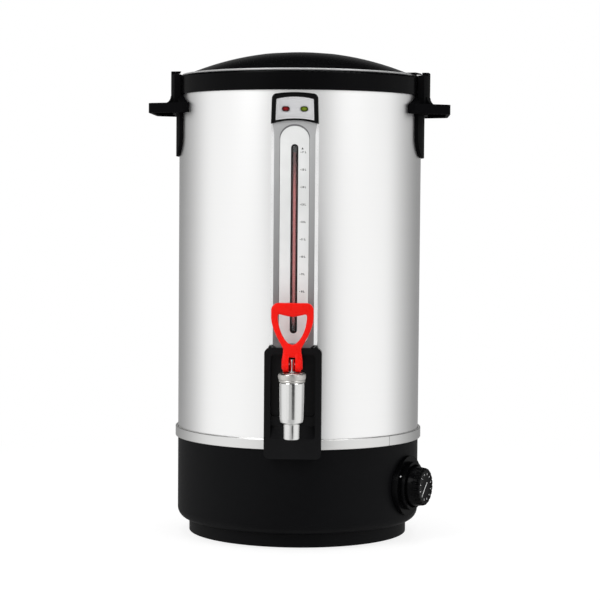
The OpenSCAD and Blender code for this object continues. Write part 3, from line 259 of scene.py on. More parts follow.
SLOT_LOOKS = {
    "base_plastic": lambda n: moulded(n, (0.0032, 0.0033, 0.0038), 0.42, 0.055, depth=0.5),
    "gloss_black": lambda n: moulded(n, (0.0016, 0.0016, 0.0019), 0.24, 0.05, grain=500.0, depth=0.12),
    "stainless": lambda n: brushed(n, (0.93, 0.93, 0.925), 0.34),
    "bright_steel": lambda n: polished(n, (0.76, 0.76, 0.75), 0.16),
    "zinc_steel": lambda n: brushed(n, (0.6, 0.61, 0.62), 0.4, (200, 200, 200)),
    "red_plastic": lambda n: moulded(n, (0.82, 0.0075, 0.0035), 0.3, 0.12, grain=300.0, depth=0.1),
    "silver_plastic": lambda n: moulded(n, (0.3, 0.305, 0.31), 0.36, 0.5, depth=0.2, metal=0.35),
    "white_face": lambda n: moulded(n, (0.69, 0.695, 0.69), 0.4, 0.4, depth=0.1),
    "sight_glass": clear,
    "red_stripe": lambda n: graded(n, "level_stripe", [
        (249, (0.004, 0.004, 0.005)), (257, (0.34, 0.07, 0.07)), (300, (0.5, 0.12, 0.115)),
        (395, (0.47, 0.115, 0.11)), (428, (0.1, 0.015, 0.015))], 0.0),
    "lens_red": lambda n: lens(n, (0.22, 0.005, 0.008), (0.02, 0.0012, 0.0015)),
    "lens_green": lambda n: lens(n, (0.15, 0.215, 0.012), (0.02, 0.028, 0.004)),
    "rubber": lambda n: moulded(n, (0.01, 0.01, 0.01), 0.8, 0.2, depth=0.8),
    "silicone": lambda n: moulded(n, (0.5, 0.5, 0.48), 0.5, 0.3, depth=0.3),
    "fibre": lambda n: fibrous(n, (0.55, 0.5, 0.3)),
    "aluminium": lambda n: brushed(n, (0.62, 0.63, 0.64), 0.5, (150, 150, 150)),
    "copper": lambda n: polished(n, (0.65, 0.32, 0.18), 0.3),
    "element": lambda n: brushed(n, (0.12, 0.11, 0.1), 0.6, (90, 90, 90)),
    "inner_plastic": lambda n: moulded(n, (0.35, 0.33, 0.27), 0.5, 0.3),
    "wire": lambda n: moulded(n, (0.16, 0.06, 0.02), 0.5, 0.3),
    "board": lambda n: moulded(n, (0.01, 0.09, 0.03), 0.4, 0.4),
    "brass": lambda n: polished(n, (0.7, 0.55, 0.28), 0.25),
}
# Finishes of single pieces and nodes, whose slot stays the node's own
PIECE_LOOKS = {
    "satin_steel": lambda n: polished(n, (0.6, 0.585, 0.56), 0.34),
    # The column's silver with painted shade: darker towards its foot, lighter towards its top
    "gauge_silver_painted_shade": lambda n: graded(n, "gauge_frame", [
        (225, (0.19, 0.19, 0.193)), (472, (0.46, 0.462, 0.464))]),
    "gauge_slot": lambda n: graded(n, "gauge_frame", [
        (250, (0.004, 0.004, 0.005)), (258, (0.07, 0.03, 0.032)), (415, (0.11, 0.055, 0.06)),
        (432, (0.012, 0.006, 0.008)), (440, (0.004, 0.004, 0.005))], 0.0),
    # The column's chamfers: the same silver made brighter and metallic, a painted highlight
    "gauge_edge_painted_highlight": lambda n: moulded(n, (0.86, 0.86, 0.86), 0.3, 0.4, depth=0.1, metal=1.0),
    "gauge_shadow": lambda n: moulded(n, (0.15, 0.15, 0.155), 0.5, 0.2, depth=0.2),
    "panel_silver": lambda n: moulded(n, (0.57, 0.57, 0.58), 0.4, 0.3, depth=0.1, metal=0.2),
    # A lighter copy of the panel's silver for its rim, a painted highlight
    "panel_edge_highlight": lambda n: moulded(n, (0.75, 0.75, 0.76), 0.4, 0.3, depth=0.1, metal=0.2),
    "handle_black": lambda n: moulded(n, (0.0032, 0.0032, 0.0036), 0.5, 0.012, grain=500.0, depth=0.2),
    "housing_black": lambda n: moulded(n, (0.0045, 0.0046, 0.0052), 0.36, 0.13, grain=500.0, depth=0.15),
    "band_steel": lambda n: brushed(n, (0.75, 0.75, 0.74), 0.42),
    "bead_silver": lambda n: moulded(n, (0.55, 0.55, 0.55), 0.4, 0.3, depth=0.1, metal=0.3),
    "hood_black": lambda n: moulded(n, (0.0014, 0.0014, 0.0017), 0.14, 0.12, grain=500.0, depth=0.05),
}
# Nodes that don't wear their slot's usual finish
NODE_LOOKS = {
    "gauge_upper_elbow": "rubber", "gauge_lower_elbow": "rubber", "handle_left": "handle_black",
    "handle_right": "handle_black", "tap_housing": "housing_black", "lower_band": "band_steel",
}
LOOKS = {name: make(name) for name, make in (SLOT_LOOKS | PIECE_LOOKS).items()}


for part in frame["record"]["subparts"]:
    materials = NODES[part["node"]].data.materials
    materials.clear()
    materials.append(LOOKS[NODE_LOOKS.get(part["node"], part["material_slot"])])


# ---- meshes, in millimetres about the drum's axis ----

SKIN_R = 140.3      # just outside the drum's skin, where the column and the hood stand on it


def bezier(a, b, c, d, steps=10):
    points = []
    for i in range(steps + 1):
        t = i / steps
        s = 1 - t
        points.append([s ** 3 * a[k] + 3 * s * s * t * b[k] + 3 * s * t * t * c[k] + t ** 3 * d[k]
                       for k in (0, 1)])
    return points


def arc(x, y, rx, ry, start, end, steps=10):
    angles = [math.radians(start + (end - start) * i / steps) for i in range(steps + 1)]
    return [[x + rx * math.cos(t), y + ry * math.sin(t)] for t in angles]


def mirrored(points):
    """Points at the right, then their mirror images in turn at the left."""
    return points + [[-x, y] for x, y in reversed(points) if abs(x) > 1e-6]


def soft(points, steps=5):
    """A closed outline whose corners are rounded: each point is (x, y) or (x, y, radius)."""
    made = []
    for i, point in enumerate(points):
        here = Vector(point[:2])
        back = Vector(points[i - 1][:2]) - here
        on = Vector(points[(i + 1) % len(points)][:2]) - here
        if len(point) < 3:
            made.append(list(here))
            continue
        half = back.angle(on) / 2
        reach = min(point[2] / math.tan(half), back.length / 2.001, on.length / 2.001)
        radius = reach * math.tan(half)
        centre = here + (back.normalized() + on.normalized()).normalized() * radius / math.sin(half)
        start = here + back.normalized() * reach - centre
        turn = math.pi - 2 * half
        if back.x * on.y - back.y * on.x > 0:
            turn = -turn
        for k in range(steps + 1):
            t = turn * k / steps
            made.append([centre.x + start.x * math.cos(t) - start.y * math.sin(t),
                         centre.y + start.x * math.sin(t) + start.y * math.cos(t)])
    return made


def area(loop):
    return sum(x0 * y1 - x1 * y0 for (x0, y0), (x1, y1) in zip(loop, loop[1:] + loop[:1])) / 2


def inset(loop, distance):
    """Each point moved to the left of the way the loop runs."""
    moved = []
    for i, point in enumerate(loop):
        before = (Vector(point) - Vector(loop[i - 1])).normalized()
        after = (Vector(loop[(i + 1) % len(loop)]) - Vector(point)).normalized()
        left = Vector((-before.y, before.x)) + Vector((-after.y, after.x))
        left /= max(0.4, 1 + before.dot(after))
        moved.append([point[0] + left.x * distance, point[1] + left.y * distance])
    return moved


def piece(name, points, faces, look, body="urn", stands_for=(), sharp=35.0, turn=0.0,
          others=()):
    """A visible piece. others: (look, numbers of its faces) for each further finish on it."""
    mesh = bpy.data.meshes.new(name)
    place = Matrix.Translation(AXIS) @ Matrix.Rotation(math.radians(turn), 4, "Z") @ Matrix.Scale(MM, 4)
    mesh.from_pydata([place @ Vector(p) for p in points], [], faces)
    for number, (_, own) in enumerate(others, 1):
        for index in own:
            mesh.polygons[index].material_index = number
    work = bmesh.new()
    work.from_mesh(mesh)
    bmesh.ops.remove_doubles(work, verts=work.verts, dist=2e-7)
    bmesh.ops.recalc_face_normals(work, faces=work.faces)
    work.to_mesh(mesh)
    work.free()
    mesh.shade_smooth()
    mesh.set_sharp_from_angle(angle=math.radians(sharp))
    obj = placed(name, mesh)
    for finish in [look] + [other for other, _ in others]:
        mesh.materials.append(LOOKS[finish])
    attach(obj, body)
    if stands_for:
        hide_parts(*stands_for)
    return obj


def add_ring(points, made):
    """Adds points to the others and returns their numbers."""
    start = len(points)
    points += made
    return list(range(start, len(points)))


def bands(rings):
    """Faces between closed rings of equal length, given as lists of point numbers."""
    faces = []
    for low, high in zip(rings, rings[1:]):
        n = len(low)
        for i in range(n):
            faces.append((low[i], low[(i + 1) % n], high[(i + 1) % n], high[i]))
    return faces


def filled(numbers, loops):
    """Flat faces between an outline and its holes, whose points have these numbers."""
    flat = [[Vector((x, z, 0)) for x, z in loop] for loop in loops]
    return [tuple(numbers[i] for i in triangle) for triangle in tessellate_polygon(flat)]


def upright(x, z, y):
    """A point x to the right, at height z and y in front of the drum's axis."""
    return (x, -y, z)


def on_skin(x):
    """How far in front of the axis the drum's skin is, x to the right."""
    return math.sqrt(SKIN_R ** 2 - x * x)


def lathe(profile, steps=128, y=0.0, z=0.0, out=False):
    """A closed profile of (radius, height) turned about an upright axis, or about one that points out."""
    points, rings = [], []
    for radius, height in profile:
        made = []
        for i in range(steps):
            t = 2 * math.pi * i / steps
            across, along = radius * math.cos(t), radius * math.sin(t)
            made.append((across, -height, z + along) if out else (across, y + along, height))
        rings.append(add_ring(points, made))
    return points, bands(rings + rings[:1])


def slab(loops, back, front, edge, back_edge=0.0, steps=3):
    """A plate from y = -back to y = -front with rounded edges. loops: its outline, then its holes."""
    ordered = [loop if (area(loop) > 0) == (k == 0) else loop[::-1] for k, loop in enumerate(loops)]
    quarter = [math.pi / 2 * i / steps for i in range(steps + 1)]
    levels = [(edge * (1 - math.cos(t)), front - edge * (1 - math.sin(t))) for t in quarter]
    if back_edge:
        levels = [(back_edge * (1 - math.cos(t)), back + back_edge * (1 - math.sin(t)))
                  for t in reversed(quarter)] + levels
    else:
        levels = [(0.0, back)] + levels
    points, faces, caps = [], [], {0: [], len(levels) - 1: []}
    for loop in ordered:
        rings = []
        for at, (shrink, depth) in enumerate(levels):
            moved = inset(loop, shrink)
            rings.append(add_ring(points, [upright(x, z, depth) for x, z in moved]))
            if at in caps:
                caps[at].append((rings[-1], moved))
        faces += bands(rings)
    for ends in caps.values():
        faces += filled([n for ring, _ in ends for n in ring], [moved for _, moved in ends])
    return points, faces


def joined(*parts):
    points, faces = [], []
    for some, their in parts:
        faces += [tuple(i + len(points) for i in face) for face in their]
        points += some
    return points, faces


def eased(*nodes, width=0.5, segments=2):
    """Soft edges on CAD nodes, by modifiers alone."""
    for name in nodes:
        obj = NODES[name]
        obj.modifiers.new("weld", "WELD").merge_threshold = 1e-5
        soften = obj.modifiers.new("bevel", "BEVEL")
        soften.width = width * MM
        soften.segments = segments
        soften.limit_method = "ANGLE"
        soften.angle_limit = math.radians(40)
        weigh = obj.modifiers.new("normals", "WEIGHTED_NORMAL")
        weigh.keep_sharp = True


# ---- tap ----

TAP_Y = (AXIS.y - middle("tap_stem").y) / MM
PIN_Z = middle("lever_pin").z / MM


def build_lever():
    """A plate with a heart-shaped window on two feet that roll as cams on the tap's cap."""
    foot, waist, head = 11.3, 9.7, 23.0
    fork, fork_top, sole, toe = 3.5, 6.9, -6.4, 1.8
    plate_half, cam_low, cam_rise, cam_turn = 3.5, 8.3, 4.0, 75
    side = [[fork, fork_top], [fork, sole], [foot - toe, sole]]
    side += arc(foot - toe, sole + toe, toe, toe, -80, 0, 4)
    side += bezier([foot, 3], [foot - 0.7, 9], [waist, 12], [waist, 16])
    side += bezier([waist, 16], [waist + 2.8, 23], [head - 1, 35], [head, 50], 16)[1:]
    side += arc(head - 8, 57.8, 8, 8, 0, 90)[1:]
    side = [[x, z + PIN_Z] for x, z in side]
    window = bezier([0, 20.7], [6.5, 20.7], [14.5, 34], [15.5, 48], 14)
    window += bezier([15.5, 48], [15.9, 52], [15.6, 53.9], [13, 53.3], 6)[1:]
    window += bezier([13, 53.3], [8, 52.1], [3, 50.9], [0, 50.9])[1:-1]
    window = [[x, z + PIN_Z] for x, z in mirrored(window)]
    plate = slab([mirrored(side), window], TAP_Y - plate_half, TAP_Y + plate_half, 2.0, 1.2, 4)
    cam = [(3.4, 11.5), (3.4, -6.8, 1.5), (1.6, -cam_low, 0.8)]
    for angle in range(0, cam_turn + 1, 15):
        t, rho = math.radians(angle), cam_low + cam_rise * angle / cam_turn
        cam.append((-rho * math.sin(t), -rho * math.cos(t)))
    cam = soft(cam + [(-11.2, -0.5, 1.5), (-6.4, 4.8, 3.0), (-3.4, 11.5)], 3)
    cam = cam if area(cam) > 0 else cam[::-1]
    feet = []
    for low, high in ((-9.6, -fork), (fork, 9.6)):
        rings, points = [], []
        for x, shrink in ((low, 0.6), (low + 0.18, 0.18), (low + 0.6, 0), (high - 0.6, 0),
                          (high - 0.18, 0.18), (high, 0.6)):
            rings.append(add_ring(points, [(x, v - TAP_Y, w + PIN_Z) for v, w in inset(cam, shrink)]))
        feet.append((points, bands(rings) + [tuple(rings[0]), tuple(rings[-1])]))
    points, faces = joined(plate, *feet)
    piece("lever", points, faces, "red_plastic", "lever", ["tap_lever"], sharp=50)


def turned_part(name, profile, stands_for, look="bright_steel", extra=()):
    points, faces = joined(lathe(soft(profile, 6), 96, y=-TAP_Y), *extra)
    piece(name, points, faces, look, "urn", stands_for, 30)


def build_tap():
    """Barrel, cap and nozzle, turned from profiles of (radius, height, corner radius)."""
    shank_z = middle("tap_locknut").z / MM
    shank = [(5, 113), (8, 113, 0.8), (8, TAP_Y - 9), (5, TAP_Y - 9)]
    flange = [(7, 144.4), (12, 144.4), (12, 148.2, 1.0), (10.6, 148.2), (8.6, 149.6, 0.6), (7, 149.6)]
    level = [lathe(soft(profile), 64, z=shank_z, out=True) for profile in (shank, flange)]
    low, high = low_z("tap_body"), top_z("tap_body")
    turned_part("tap_barrel", [
        (9.0, low + 9), (9.0, high), (12.4, high), (13.3, high - 0.1, 0.4), (13.9, high - 1.2, 0.6),
        (13.85, high - 14, 8), (13.3, low + 5.4, 6), (12.5, low + 1.5, 2.4), (9.8, low, 1.4), (7.1, low),
        (7.1, low + 5.6), (5.5, low + 5.6), (5.5, low + 9)], ["tap_body"], extra=level)
    low, high = low_z("tap_bonnet"), top_z("tap_bonnet")
    turned_part("tap_cap", [
        (3.05, high - 3.4), (3.05, high - 0.5), (3.8, high - 0.5), (4.4, high, 0.4), (13.2, high, 1.4),
        (15.0, high - 1.8, 1.8), (15.25, high - 4.4, 3), (14.9, low + 3.1, 0.9), (14.1, low + 2.4, 0.5),
        (14.5, low + 1.5, 0.6), (14.1, low, 0.5), (9.0, low), (9.0, high - 3.4)],
        ["tap_bonnet"], "satin_steel")
    low, top = low_z("tap_spout"), low_z("tap_body")
    turned_part("tap_nozzle", [
        (5.5, low + 0.8, 0.5), (6.6, low, 0.4), (8.6, low, 0.5), (8.9, low + 1.0, 0.6), (9.0, low + 8, 4),
        (9.05, top - 1.0, 0.8), (8.8, top), (7.0, top), (7.0, top + 5.6), (5.5, top + 5.6)],
        ["tap_spout"])


# ---- gauge and lamps ----

FOOT_Z = low_z("gauge_frame")
GAUGE = (FOOT_Z + 2.5, top_z("gauge_frame"))
GAUGE_Y = front_y("gauge_frame")
GAUGE_HALF = 26
LEDGE_Y = GAUGE_Y - 0.9                 # the ledge that the dial lies on
FACE_HALF, FACE_CORNER, FACE_RISE = 15.9, 8, 14.7
FACE_SHOULDER = GAUGE[1] - 17.2         # where the dial's sides turn into its crown
SLOT = (GAUGE[0] + 13.1, GAUGE[1] - 22.2)
SLOT_HALF = 3.95
RISE = 3.7                              # of the arch between the column and the hood
LITRES, FULL, LITRE_STEP = 9, 16, 18.89


def arched_top(half, side_z, rise, steps=12):
    """Points along an arch from its right end to its left end."""
    radius = (half * half + rise * rise) / (2 * rise)
    reach = math.degrees(math.asin(half / radius))
    return arc(0, side_z + rise - radius, radius, radius, 90 - reach, 90 + reach, steps)


def face_outline(grow=0.0):
    """The dial's outline: rounded corners at its foot, an elliptic crown."""
    half, round_r = FACE_HALF + grow, FACE_CORNER
    corner_z = GAUGE[0] + 2 - grow + round_r
    left = arc(round_r - half, corner_z, round_r, round_r, 180, 270, 6)
    right = arc(half - round_r, corner_z, round_r, round_r, 270, 360, 6)
    return left + right + arc(0, FACE_SHOULDER, half, FACE_RISE + grow, 0, 180, 28)


def slot_outline(grow=0.0):
    low, high, half = SLOT[0] + SLOT_HALF, SLOT[1] - SLOT_HALF, SLOT_HALF + grow
    return arc(0, low, half, half, 180, 360, 12) + arc(0, high, half, half, 0, 180, 12)


def column_outlines():
    """The column's outline at its sides and that of its flat front, flared under the hood."""
    low, high = GAUGE
    foot_half, flat_foot_half, flat_half, flare, flare_h = 20.6, 18.6, 22.4, 1.9, 13
    heights = (low + 2, low + 60, high - 60, high - 20, high - 13, high - 9, high - 5)
    side = [[-foot_half, FOOT_Z], [foot_half, FOOT_Z], [25.4, low + 0.2]]
    side += [[GAUGE_HALF, z] for z in heights] + arched_top(GAUGE_HALF, high - 0.3, RISE)
    side += [[-GAUGE_HALF, z] for z in reversed(heights)] + [[-25.4, low + 0.2]]
    flat = []
    for x, z in side:
        share = max(0.0, min(1.0, (z - high + flare_h) / flare_h))
        flat.append([x * (flat_half + flare * share ** 1.5) / GAUGE_HALF, z])
    flat[0][0], flat[1][0] = -flat_foot_half, flat_foot_half
    return side, flat


def build_column():
    """The gauge's housing, with a pocket for the dial and a dark slot behind the sight tube."""
    side, flat = column_outlines()
    hole, slot = face_outline(0.3)[::-1], slot_outline(0.1)[::-1]
    points = []
    rings = [add_ring(points, [upright(x, z, on_skin(x)) for x, z in side]),
             add_ring(points, [upright(x, z, GAUGE_Y - 3.6) for x, z in side]),
             add_ring(points, [upright(x, z, GAUGE_Y) for x, z in flat])]
    faces = bands(rings)
    # Faces of the chamfers, which wear the painted highlight
    edge = range(len(faces))
    pocket = []
    for shrink, depth in ((0.0, LEDGE_Y), (0.0, GAUGE_Y - 0.5), (0.15, GAUGE_Y - 0.15), (0.5, GAUGE_Y)):
        pocket.append(add_ring(points, [upright(x, z, depth) for x, z in inset(hole, shrink)]))
    faces += bands(pocket) + filled(rings[-1] + pocket[-1], [flat, inset(hole, 0.5)])
    dark = len(faces)
    well = [add_ring(points, [upright(x, z, depth) for x, z in slot]) for depth in (SKIN_R + 0.3, LEDGE_Y)]
    faces += bands(well) + [tuple(well[0])] + filled(pocket[0] + well[-1], [hole, slot])
    # The column's front carries painted shade, darker towards its foot
    piece("gauge_housing", points, faces, "gauge_silver_painted_shade", stands_for=["gauge_frame"], sharp=25,
          others=[("gauge_edge_painted_highlight", edge), ("gauge_slot", range(dark, len(faces)))])


def build_gauge():
    build_column()
    points, faces = slab([face_outline(), slot_outline()], GAUGE_Y - 0.8, GAUGE_Y - 0.2, 0.25)
    piece("gauge_dial", points, faces, "white_face", stands_for=["gauge_face"])
    # A dark ring painted as shade along the dial's crown: widest at the top, thin down its sides
    outer, inner = [], []
    for angle in range(0, 181, 6):
        t = math.radians(angle)
        wide = 0.3 + 1.6 * math.sin(t) ** 0.7
        outer.append([(FACE_HALF + wide) * math.cos(t), FACE_SHOULDER + (FACE_RISE + wide) * math.sin(t)])
        inner.append([(FACE_HALF + 0.1) * math.cos(t), FACE_SHOULDER + (FACE_RISE + 0.1) * math.sin(t)])
    points, faces = slab([outer + inner[::-1]], GAUGE_Y - 0.5, GAUGE_Y + 0.04, 0.02, steps=1)
    piece("gauge_lip_shadow", points, faces, "gauge_shadow")
    full_z = top_z("level_stripe")
    loops = []
    for i in range(LITRES):
        z = full_z - LITRE_STEP * i
        loops.append([[6.2, z - 0.25], [7.2, z - 0.25], [7.2, z + 0.25], [6.2, z + 0.25]])
        lettering(f"gauge_number_{FULL - i}", f"{FULL - i} L", 10.0, z, 2.0, GAUGE_Y - 0.19)
    z = full_z + 4.2
    loops.append([[7.2, z - 1.1], [9.8, z - 1.1], [8.5, z + 1.2]])
    points, faces = joined(*[slab([loop], GAUGE_Y - 0.25, GAUGE_Y - 0.17, 0.02, steps=1) for loop in loops])
    piece("gauge_marks", points, faces, "gloss_black")


def lettering(name, text, x, z, size, y):
    """Plain raised numbers on a dial, their capitals size mm high."""
    curve = bpy.data.curves.new(name, "FONT")
    curve.body = text
    curve.size = size * MM / 0.7
    curve.align_x = "CENTER"
    curve.align_y = "CENTER"
    curve.extrude = 0.00003
    curve.offset = 0.00011
    obj = placed(name, curve)
    obj.location = AXIS + Vector(upright(x, z, y)) * MM
    obj.rotation_euler = (math.pi / 2, 0, 0)
    curve.materials.append(LOOKS["gloss_black"])
    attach(obj, "urn")


def hood_outline(half, low, high, rise, sag, radius):
    """An arched outline whose sides lean in a little and whose foot is arched too."""
    lean = 0.8
    bend = (half * half + rise * rise) / (2 * rise)
    reach = half - lean - radius
    drop = bend - math.sqrt(bend * bend - reach * reach)
    side = [[half, low]] + arc(reach, high - drop - radius, radius, radius, 0, 90, 8)
    crown = arc(0, high - bend, bend, bend, 90 - math.degrees(math.asin(reach / bend)), 90, 5)[1:]
    return mirrored(side + crown) + arched_top(half, low, sag, 10)[::-1][1:-1]


def build_hood():
    """The black hood around the lamps, its silver panel, and a lighter ring along the panel's rim that is a
    painted highlight.
    """
    low, high = low_z("indicator_hood") - 0.5, top_z("indicator_hood") + 0.8
    front = front_y("indicator_hood")
    outer = hood_outline(26.0, low, high, 2.4, RISE, 5.6)
    window = hood_outline(21.1, low + 3.4, high - 4.8, 2.7, 2.2, 1.6)
    step = hood_outline(20.2, low + 4.2, high - 5.8, 2.6, 2.2, 1.4)
    points, faces = joined(slab([outer, window], front - 3.4, front, 1.6, steps=5),
                           slab([outer, step], front - 10.3, front - 3.3, 0.1, steps=1))
    points = [(x, min(y, -on_skin(x)), z) for x, y, z in points]
    piece("lamp_hood", points, faces, "hood_black", stands_for=["indicator_hood"], sharp=40)
    z, lamp_x, lamp_half, lamp_r = middle("lamp_red").z / MM, 10, 1.5, 2.7
    holes = [arc(x + lamp_half, z, lamp_r, lamp_r, -90, 90, 8) +
             arc(x - lamp_half, z, lamp_r, lamp_r, 90, 270, 8) for x in (-lamp_x, lamp_x)]
    panel = hood_outline(21.0, low + 3.5, high - 4.9, 2.7, 2.2, 1.5)
    points, faces = slab([panel] + holes, front - 3.2, front - 2.0, 0.3)
    piece("lamp_panel", points, faces, "panel_silver", stands_for=["indicator_panel"])
    # A thin light ring on the panel's rim, a painted highlight
    points, faces = slab([panel, inset(panel, 1.1)], front - 2.1, front - 1.9, 0.08, steps=1)
    piece("panel_rim_highlight", points, faces, "panel_edge_highlight")


# ---- heat control ----

def build_knob():
    """The fluted knob, the marks on it and the one on its bezel, built in front and turned to its side."""
    around = 65         # degrees from the tap to the knob, as seen from above
    z0 = middle("knob_bezel").z / MM
    y0 = 144.3          # the bezel's face, in front of the drum's axis
    teeth, flute = 20, 1.6
    steps = teeth * 14
    # Radius, height over the bezel, share of the flutes' depth
    levels = [(12.5, 0.3, 0), (22.2, 0.0, 0), (22.7, 0.5, 0), (22.65, 4.0, 0), (22.3, 9.0, 0),
              (21.9, 12.6, 0), (21.75, 13.2, 0.3), (21.6, 13.9, 1), (21.3, 17.2, 1), (20.9, 18.2, 1),
              (20.0, 19.0, 0.8), (18.8, 19.3, 0.3), (17.8, 19.3, 0), (17.2, 19.0, 0), (9.0, 18.8, 0),
              (0.0, 18.7, 0)]
    points, rings = [], []
    for radius, height, depth in levels:
        made = []
        for i in range(steps):
            t = 2 * math.pi * i / steps
            wave = max(0.0, math.cos(teeth * t) - 0.2) / 0.8
            r = radius - depth * flute * wave ** 0.6
            made.append((max(r, 0) * math.cos(t), -(y0 + height), z0 + max(r, 0) * math.sin(t)))
        rings.append(add_ring(points, made))
    piece("heat_knob", points, bands(rings), "gloss_black", "control", ["knob"], sharp=40, turn=around)
    marks = []
    lean = math.radians(45)
    for angle, near, far, wide in [(lean, -14.5, 6.5, 0.6)] + [
            (lean + math.radians(a), 13.4, 15.8, 0.4) for a in range(-150, 151, 30)]:
        along = Vector((math.cos(angle), math.sin(angle)))
        across = Vector((-along.y, along.x)) * wide
        loop = [along * near - across, along * far - across, along * far + across, along * near + across]
        marks.append(slab([[[p.x, p.y + z0] for p in loop]], y0 + 18.5, y0 + 19.05, 0.1, steps=1))
    points, faces = joined(*marks)
    piece("knob_marks", points, faces, "white_face", "control", turn=around)
    loop = [[x - 25.5, z + z0 + 13.5] for x, z in arc(0, 0, 1.9, 0.9, 0, 360, 16)[:-1]]
    points, faces = slab([loop], 143.2, 144.0, 0.15)
    piece("bezel_mark", points, faces, "white_face", turn=around)


def build_bead():
    """The smooth skin of the tank's rolled bead."""
    bead, skin = 1.2, 1.27
    radius, height = spans("inner_tank").x / MM / 2 - bead, top_z("inner_tank") - bead
    points, faces = lathe(arc(radius, height, skin, skin, 0, 360, 24)[:-1], 256)
    piece("tank_bead", points, faces, "bead_silver", sharp=60)


build_bead()
build_lever()
build_tap()
build_gauge()
build_hood()
build_knob()
eased("tap_housing", width=1.2, segments=3)
eased("handle_left", "handle_right", width=1.0, segments=3)
eased("lid_dome", width=0.8)
eased("base_shell", "collar_ring", "knob_bezel", "power_inlet", width=0.5)
eased("base_plate", "tank_support", "terminal_block", "thermostat_body", "tap_locknut", "gauge_nuts",
      "tap_stem", "gauge_upper_elbow", "gauge_lower_elbow", "lid_liner", "heater_bracket", width=0.3)


# ---- stage ----

def make_world():
    """White to the camera, metal and glass, and a plain grey light on the object."""
    world = bpy.data.worlds.new("studio")
    bpy.context.scene.world = world
    world.use_nodes = True
    tree = world.node_tree
    tree.nodes.clear()
    rays = add_node(tree, "ShaderNodeLightPath").outputs
    seen = rays["Is Camera Ray"]
    for kind in ("Is Glossy Ray", "Is Transmission Ray"):
        seen = add_node(tree, "ShaderNodeMath", {0: seen, 1: rays[kind]}, operation="MAXIMUM").outputs[0]
    level = add_node(tree, "ShaderNodeMapRange", {"Value": seen, "To Min": 0.55, "To Max": 1.0}).outputs[0]
    sky = add_node(tree, "ShaderNodeBackground", {"Color": (1, 1, 1, 1), "Strength": level}).outputs[0]
    add_node(tree, "ShaderNodeOutputWorld", {"Surface": sky})


def four_cornered(name, corners, material):
    mesh = bpy.data.meshes.new(name)
    mesh.from_pydata(corners, [], [(0, 1, 2, 3)])
    mesh.materials.append(material)
    return placed(name, mesh)


def make_floor():
    """A pale floor that fades to plain white away from the urn."""
    size = 6.0
    s = Shader("floor", Base_Color=(0.9, 0.9, 0.9, 1), Roughness=0.7, Emission_Color=(1, 1, 1, 1))
    seen = s.node("ShaderNodeLightPath").outputs["Is Camera Ray"]
    s.link(s.math_node("MULTIPLY", seen, 0.35), "Emission Strength")
    away = s.vector_node("LENGTH", s.place(), output="Value")
    fade = s.node("ShaderNodeMapRange", {"Value": away, "From Min": 0.25, "From Max": 0.9},
                  interpolation_type="SMOOTHSTEP").outputs["Result"]
    plain = s.node("ShaderNodeMapRange", {"Value": fade, "To Min": 0.7, "To Max": 1.0}).outputs["Result"]
    share = s.math_node("MULTIPLY", plain, seen)
    white = s.glow((1, 1, 1, 1))
    s.surface(s.node("ShaderNodeMixShader", {0: share, 1: s.bsdf.outputs[0], 2: white}).outputs[0])
    corners = [(-size, -size, 0), (size, -size, 0), (size, size, 0), (-size, size, 0)]
    floor = four_cornered("floor", corners, s.material)
    floor.visible_glossy = False


def unseen(obj):
    """Makes of obj a stage card that only metal and gloss see."""
    obj.visible_camera = False
    obj.visible_diffuse = False
    obj.visible_transmission = False
    obj.visible_shadow = False


# Brightness of the surround: by degrees around from the tap, and by degrees of elevation
SIDE_STOPS = [(0, 0.62), (22, 0.64), (36, 0.93), (50, 1.0), (88, 1.0), (96, 0.9), (104, 0.72), (114, 0.55),
              (127, 0.4), (145, 0.27), (170, 0.33)]
RISE_STOPS = [(-90, 0.9), (-20, 1.0), (14, 1.0), (30, 0.03)]


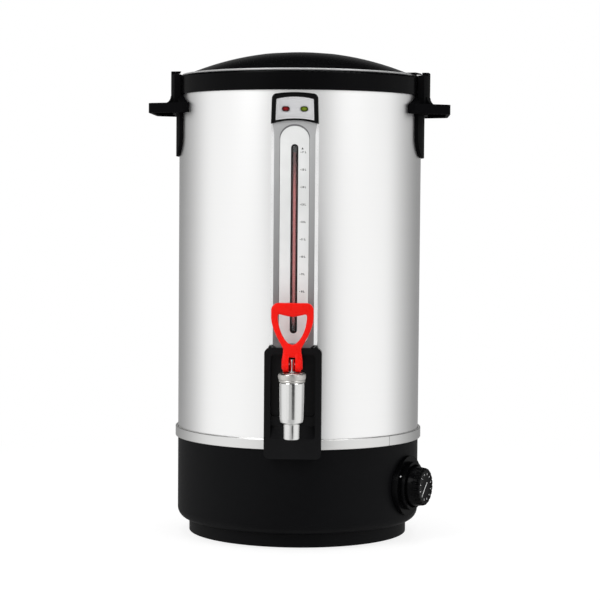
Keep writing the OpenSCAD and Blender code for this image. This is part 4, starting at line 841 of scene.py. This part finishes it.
def make_surround():
    """A shell of grey around the sides and above, which shapes the reflections."""
    radius, steps, centre_z, pole = 3.0, 48, 0.28, 89.9
    points, rings = [], []
    for up in range(-90, 91, 10):
        t = math.radians(max(-pole, min(up, pole)))
        made = []
        for i in range(steps):
            a = 2 * math.pi * i / steps
            made.append((radius * math.cos(t) * math.sin(a), -radius * math.cos(t) * math.cos(a),
                         radius * math.sin(t)))
        rings.append(add_ring(points, made))
    mesh = bpy.data.meshes.new("surround")
    mesh.from_pydata(points, [], bands(rings))
    s = Shader("surround")
    x, y, z = s.node("ShaderNodeSeparateXYZ", {0: s.place()}).outputs
    around = s.math_node("ABSOLUTE", s.math_node("ARCTAN2", x, s.math_node("MULTIPLY", y, -1.0)))
    share = s.math_node("DIVIDE", around, math.pi)
    sides = s.ramp(share, [(at / 180, (grey,) * 3) for at, grey in SIDE_STOPS])
    height = s.node("ShaderNodeMapRange", {
        "Value": z, "From Min": -radius, "From Max": radius}).outputs["Result"]
    stops = [((1 + math.sin(math.radians(at))) / 2, (grey,) * 3) for at, grey in RISE_STOPS]
    s.surface(s.glow(s.vector_node("MULTIPLY", sides, s.ramp(height, stops))))
    mesh.materials.append(s.material)
    shell = placed("surround", mesh)
    shell.location = AXIS + Vector((0, 0, centre_z))
    unseen(shell)


def make_flag(azimuths, distance, low, top, grey):
    """One card in front, for a dark or a bright line along the polished tap."""
    (x0, y0), (x1, y1) = [(distance * math.sin(math.radians(a)), -distance * math.cos(math.radians(a)))
                          for a in azimuths]
    s = Shader("flag")
    s.surface(s.glow((grey, grey, grey, 1)))
    card = four_cornered("flag", [(x0, y0, low), (x1, y1, low), (x1, y1, top), (x0, y0, top)], s.material)
    card.location = AXIS
    unseen(card)


def lamp(name, place, size, watts):
    """A soft light that looks at the middle of the urn."""
    aim = Vector((0, 0, 0.3))
    data = bpy.data.lights.new(name, "AREA")
    data.shape = "RECTANGLE"
    data.size, data.size_y = size
    data.energy = watts
    light = placed(name, data)
    light.location = place
    light.rotation_mode = "QUATERNION"
    light.rotation_quaternion = (Vector(place) - aim).to_track_quat("Z", "Y")


bpy.context.scene.view_settings.view_transform = "Standard"
make_camera()
make_world()
make_floor()
make_surround()
make_flag((2, 24), 1.2, -0.05, 0.3, 0.05)
make_flag((-36, -20), 1.2, -0.05, 0.3, 1.0)
lamp("key", (-1.3, -1.5, 1.7), (1.0, 1.2), 22)
lamp("fill", (1.5, -1.3, 1.7), (1.0, 1.2), 14)
lamp("top", (0.0, 0.3, 2.2), (1.4, 1.4), 14)
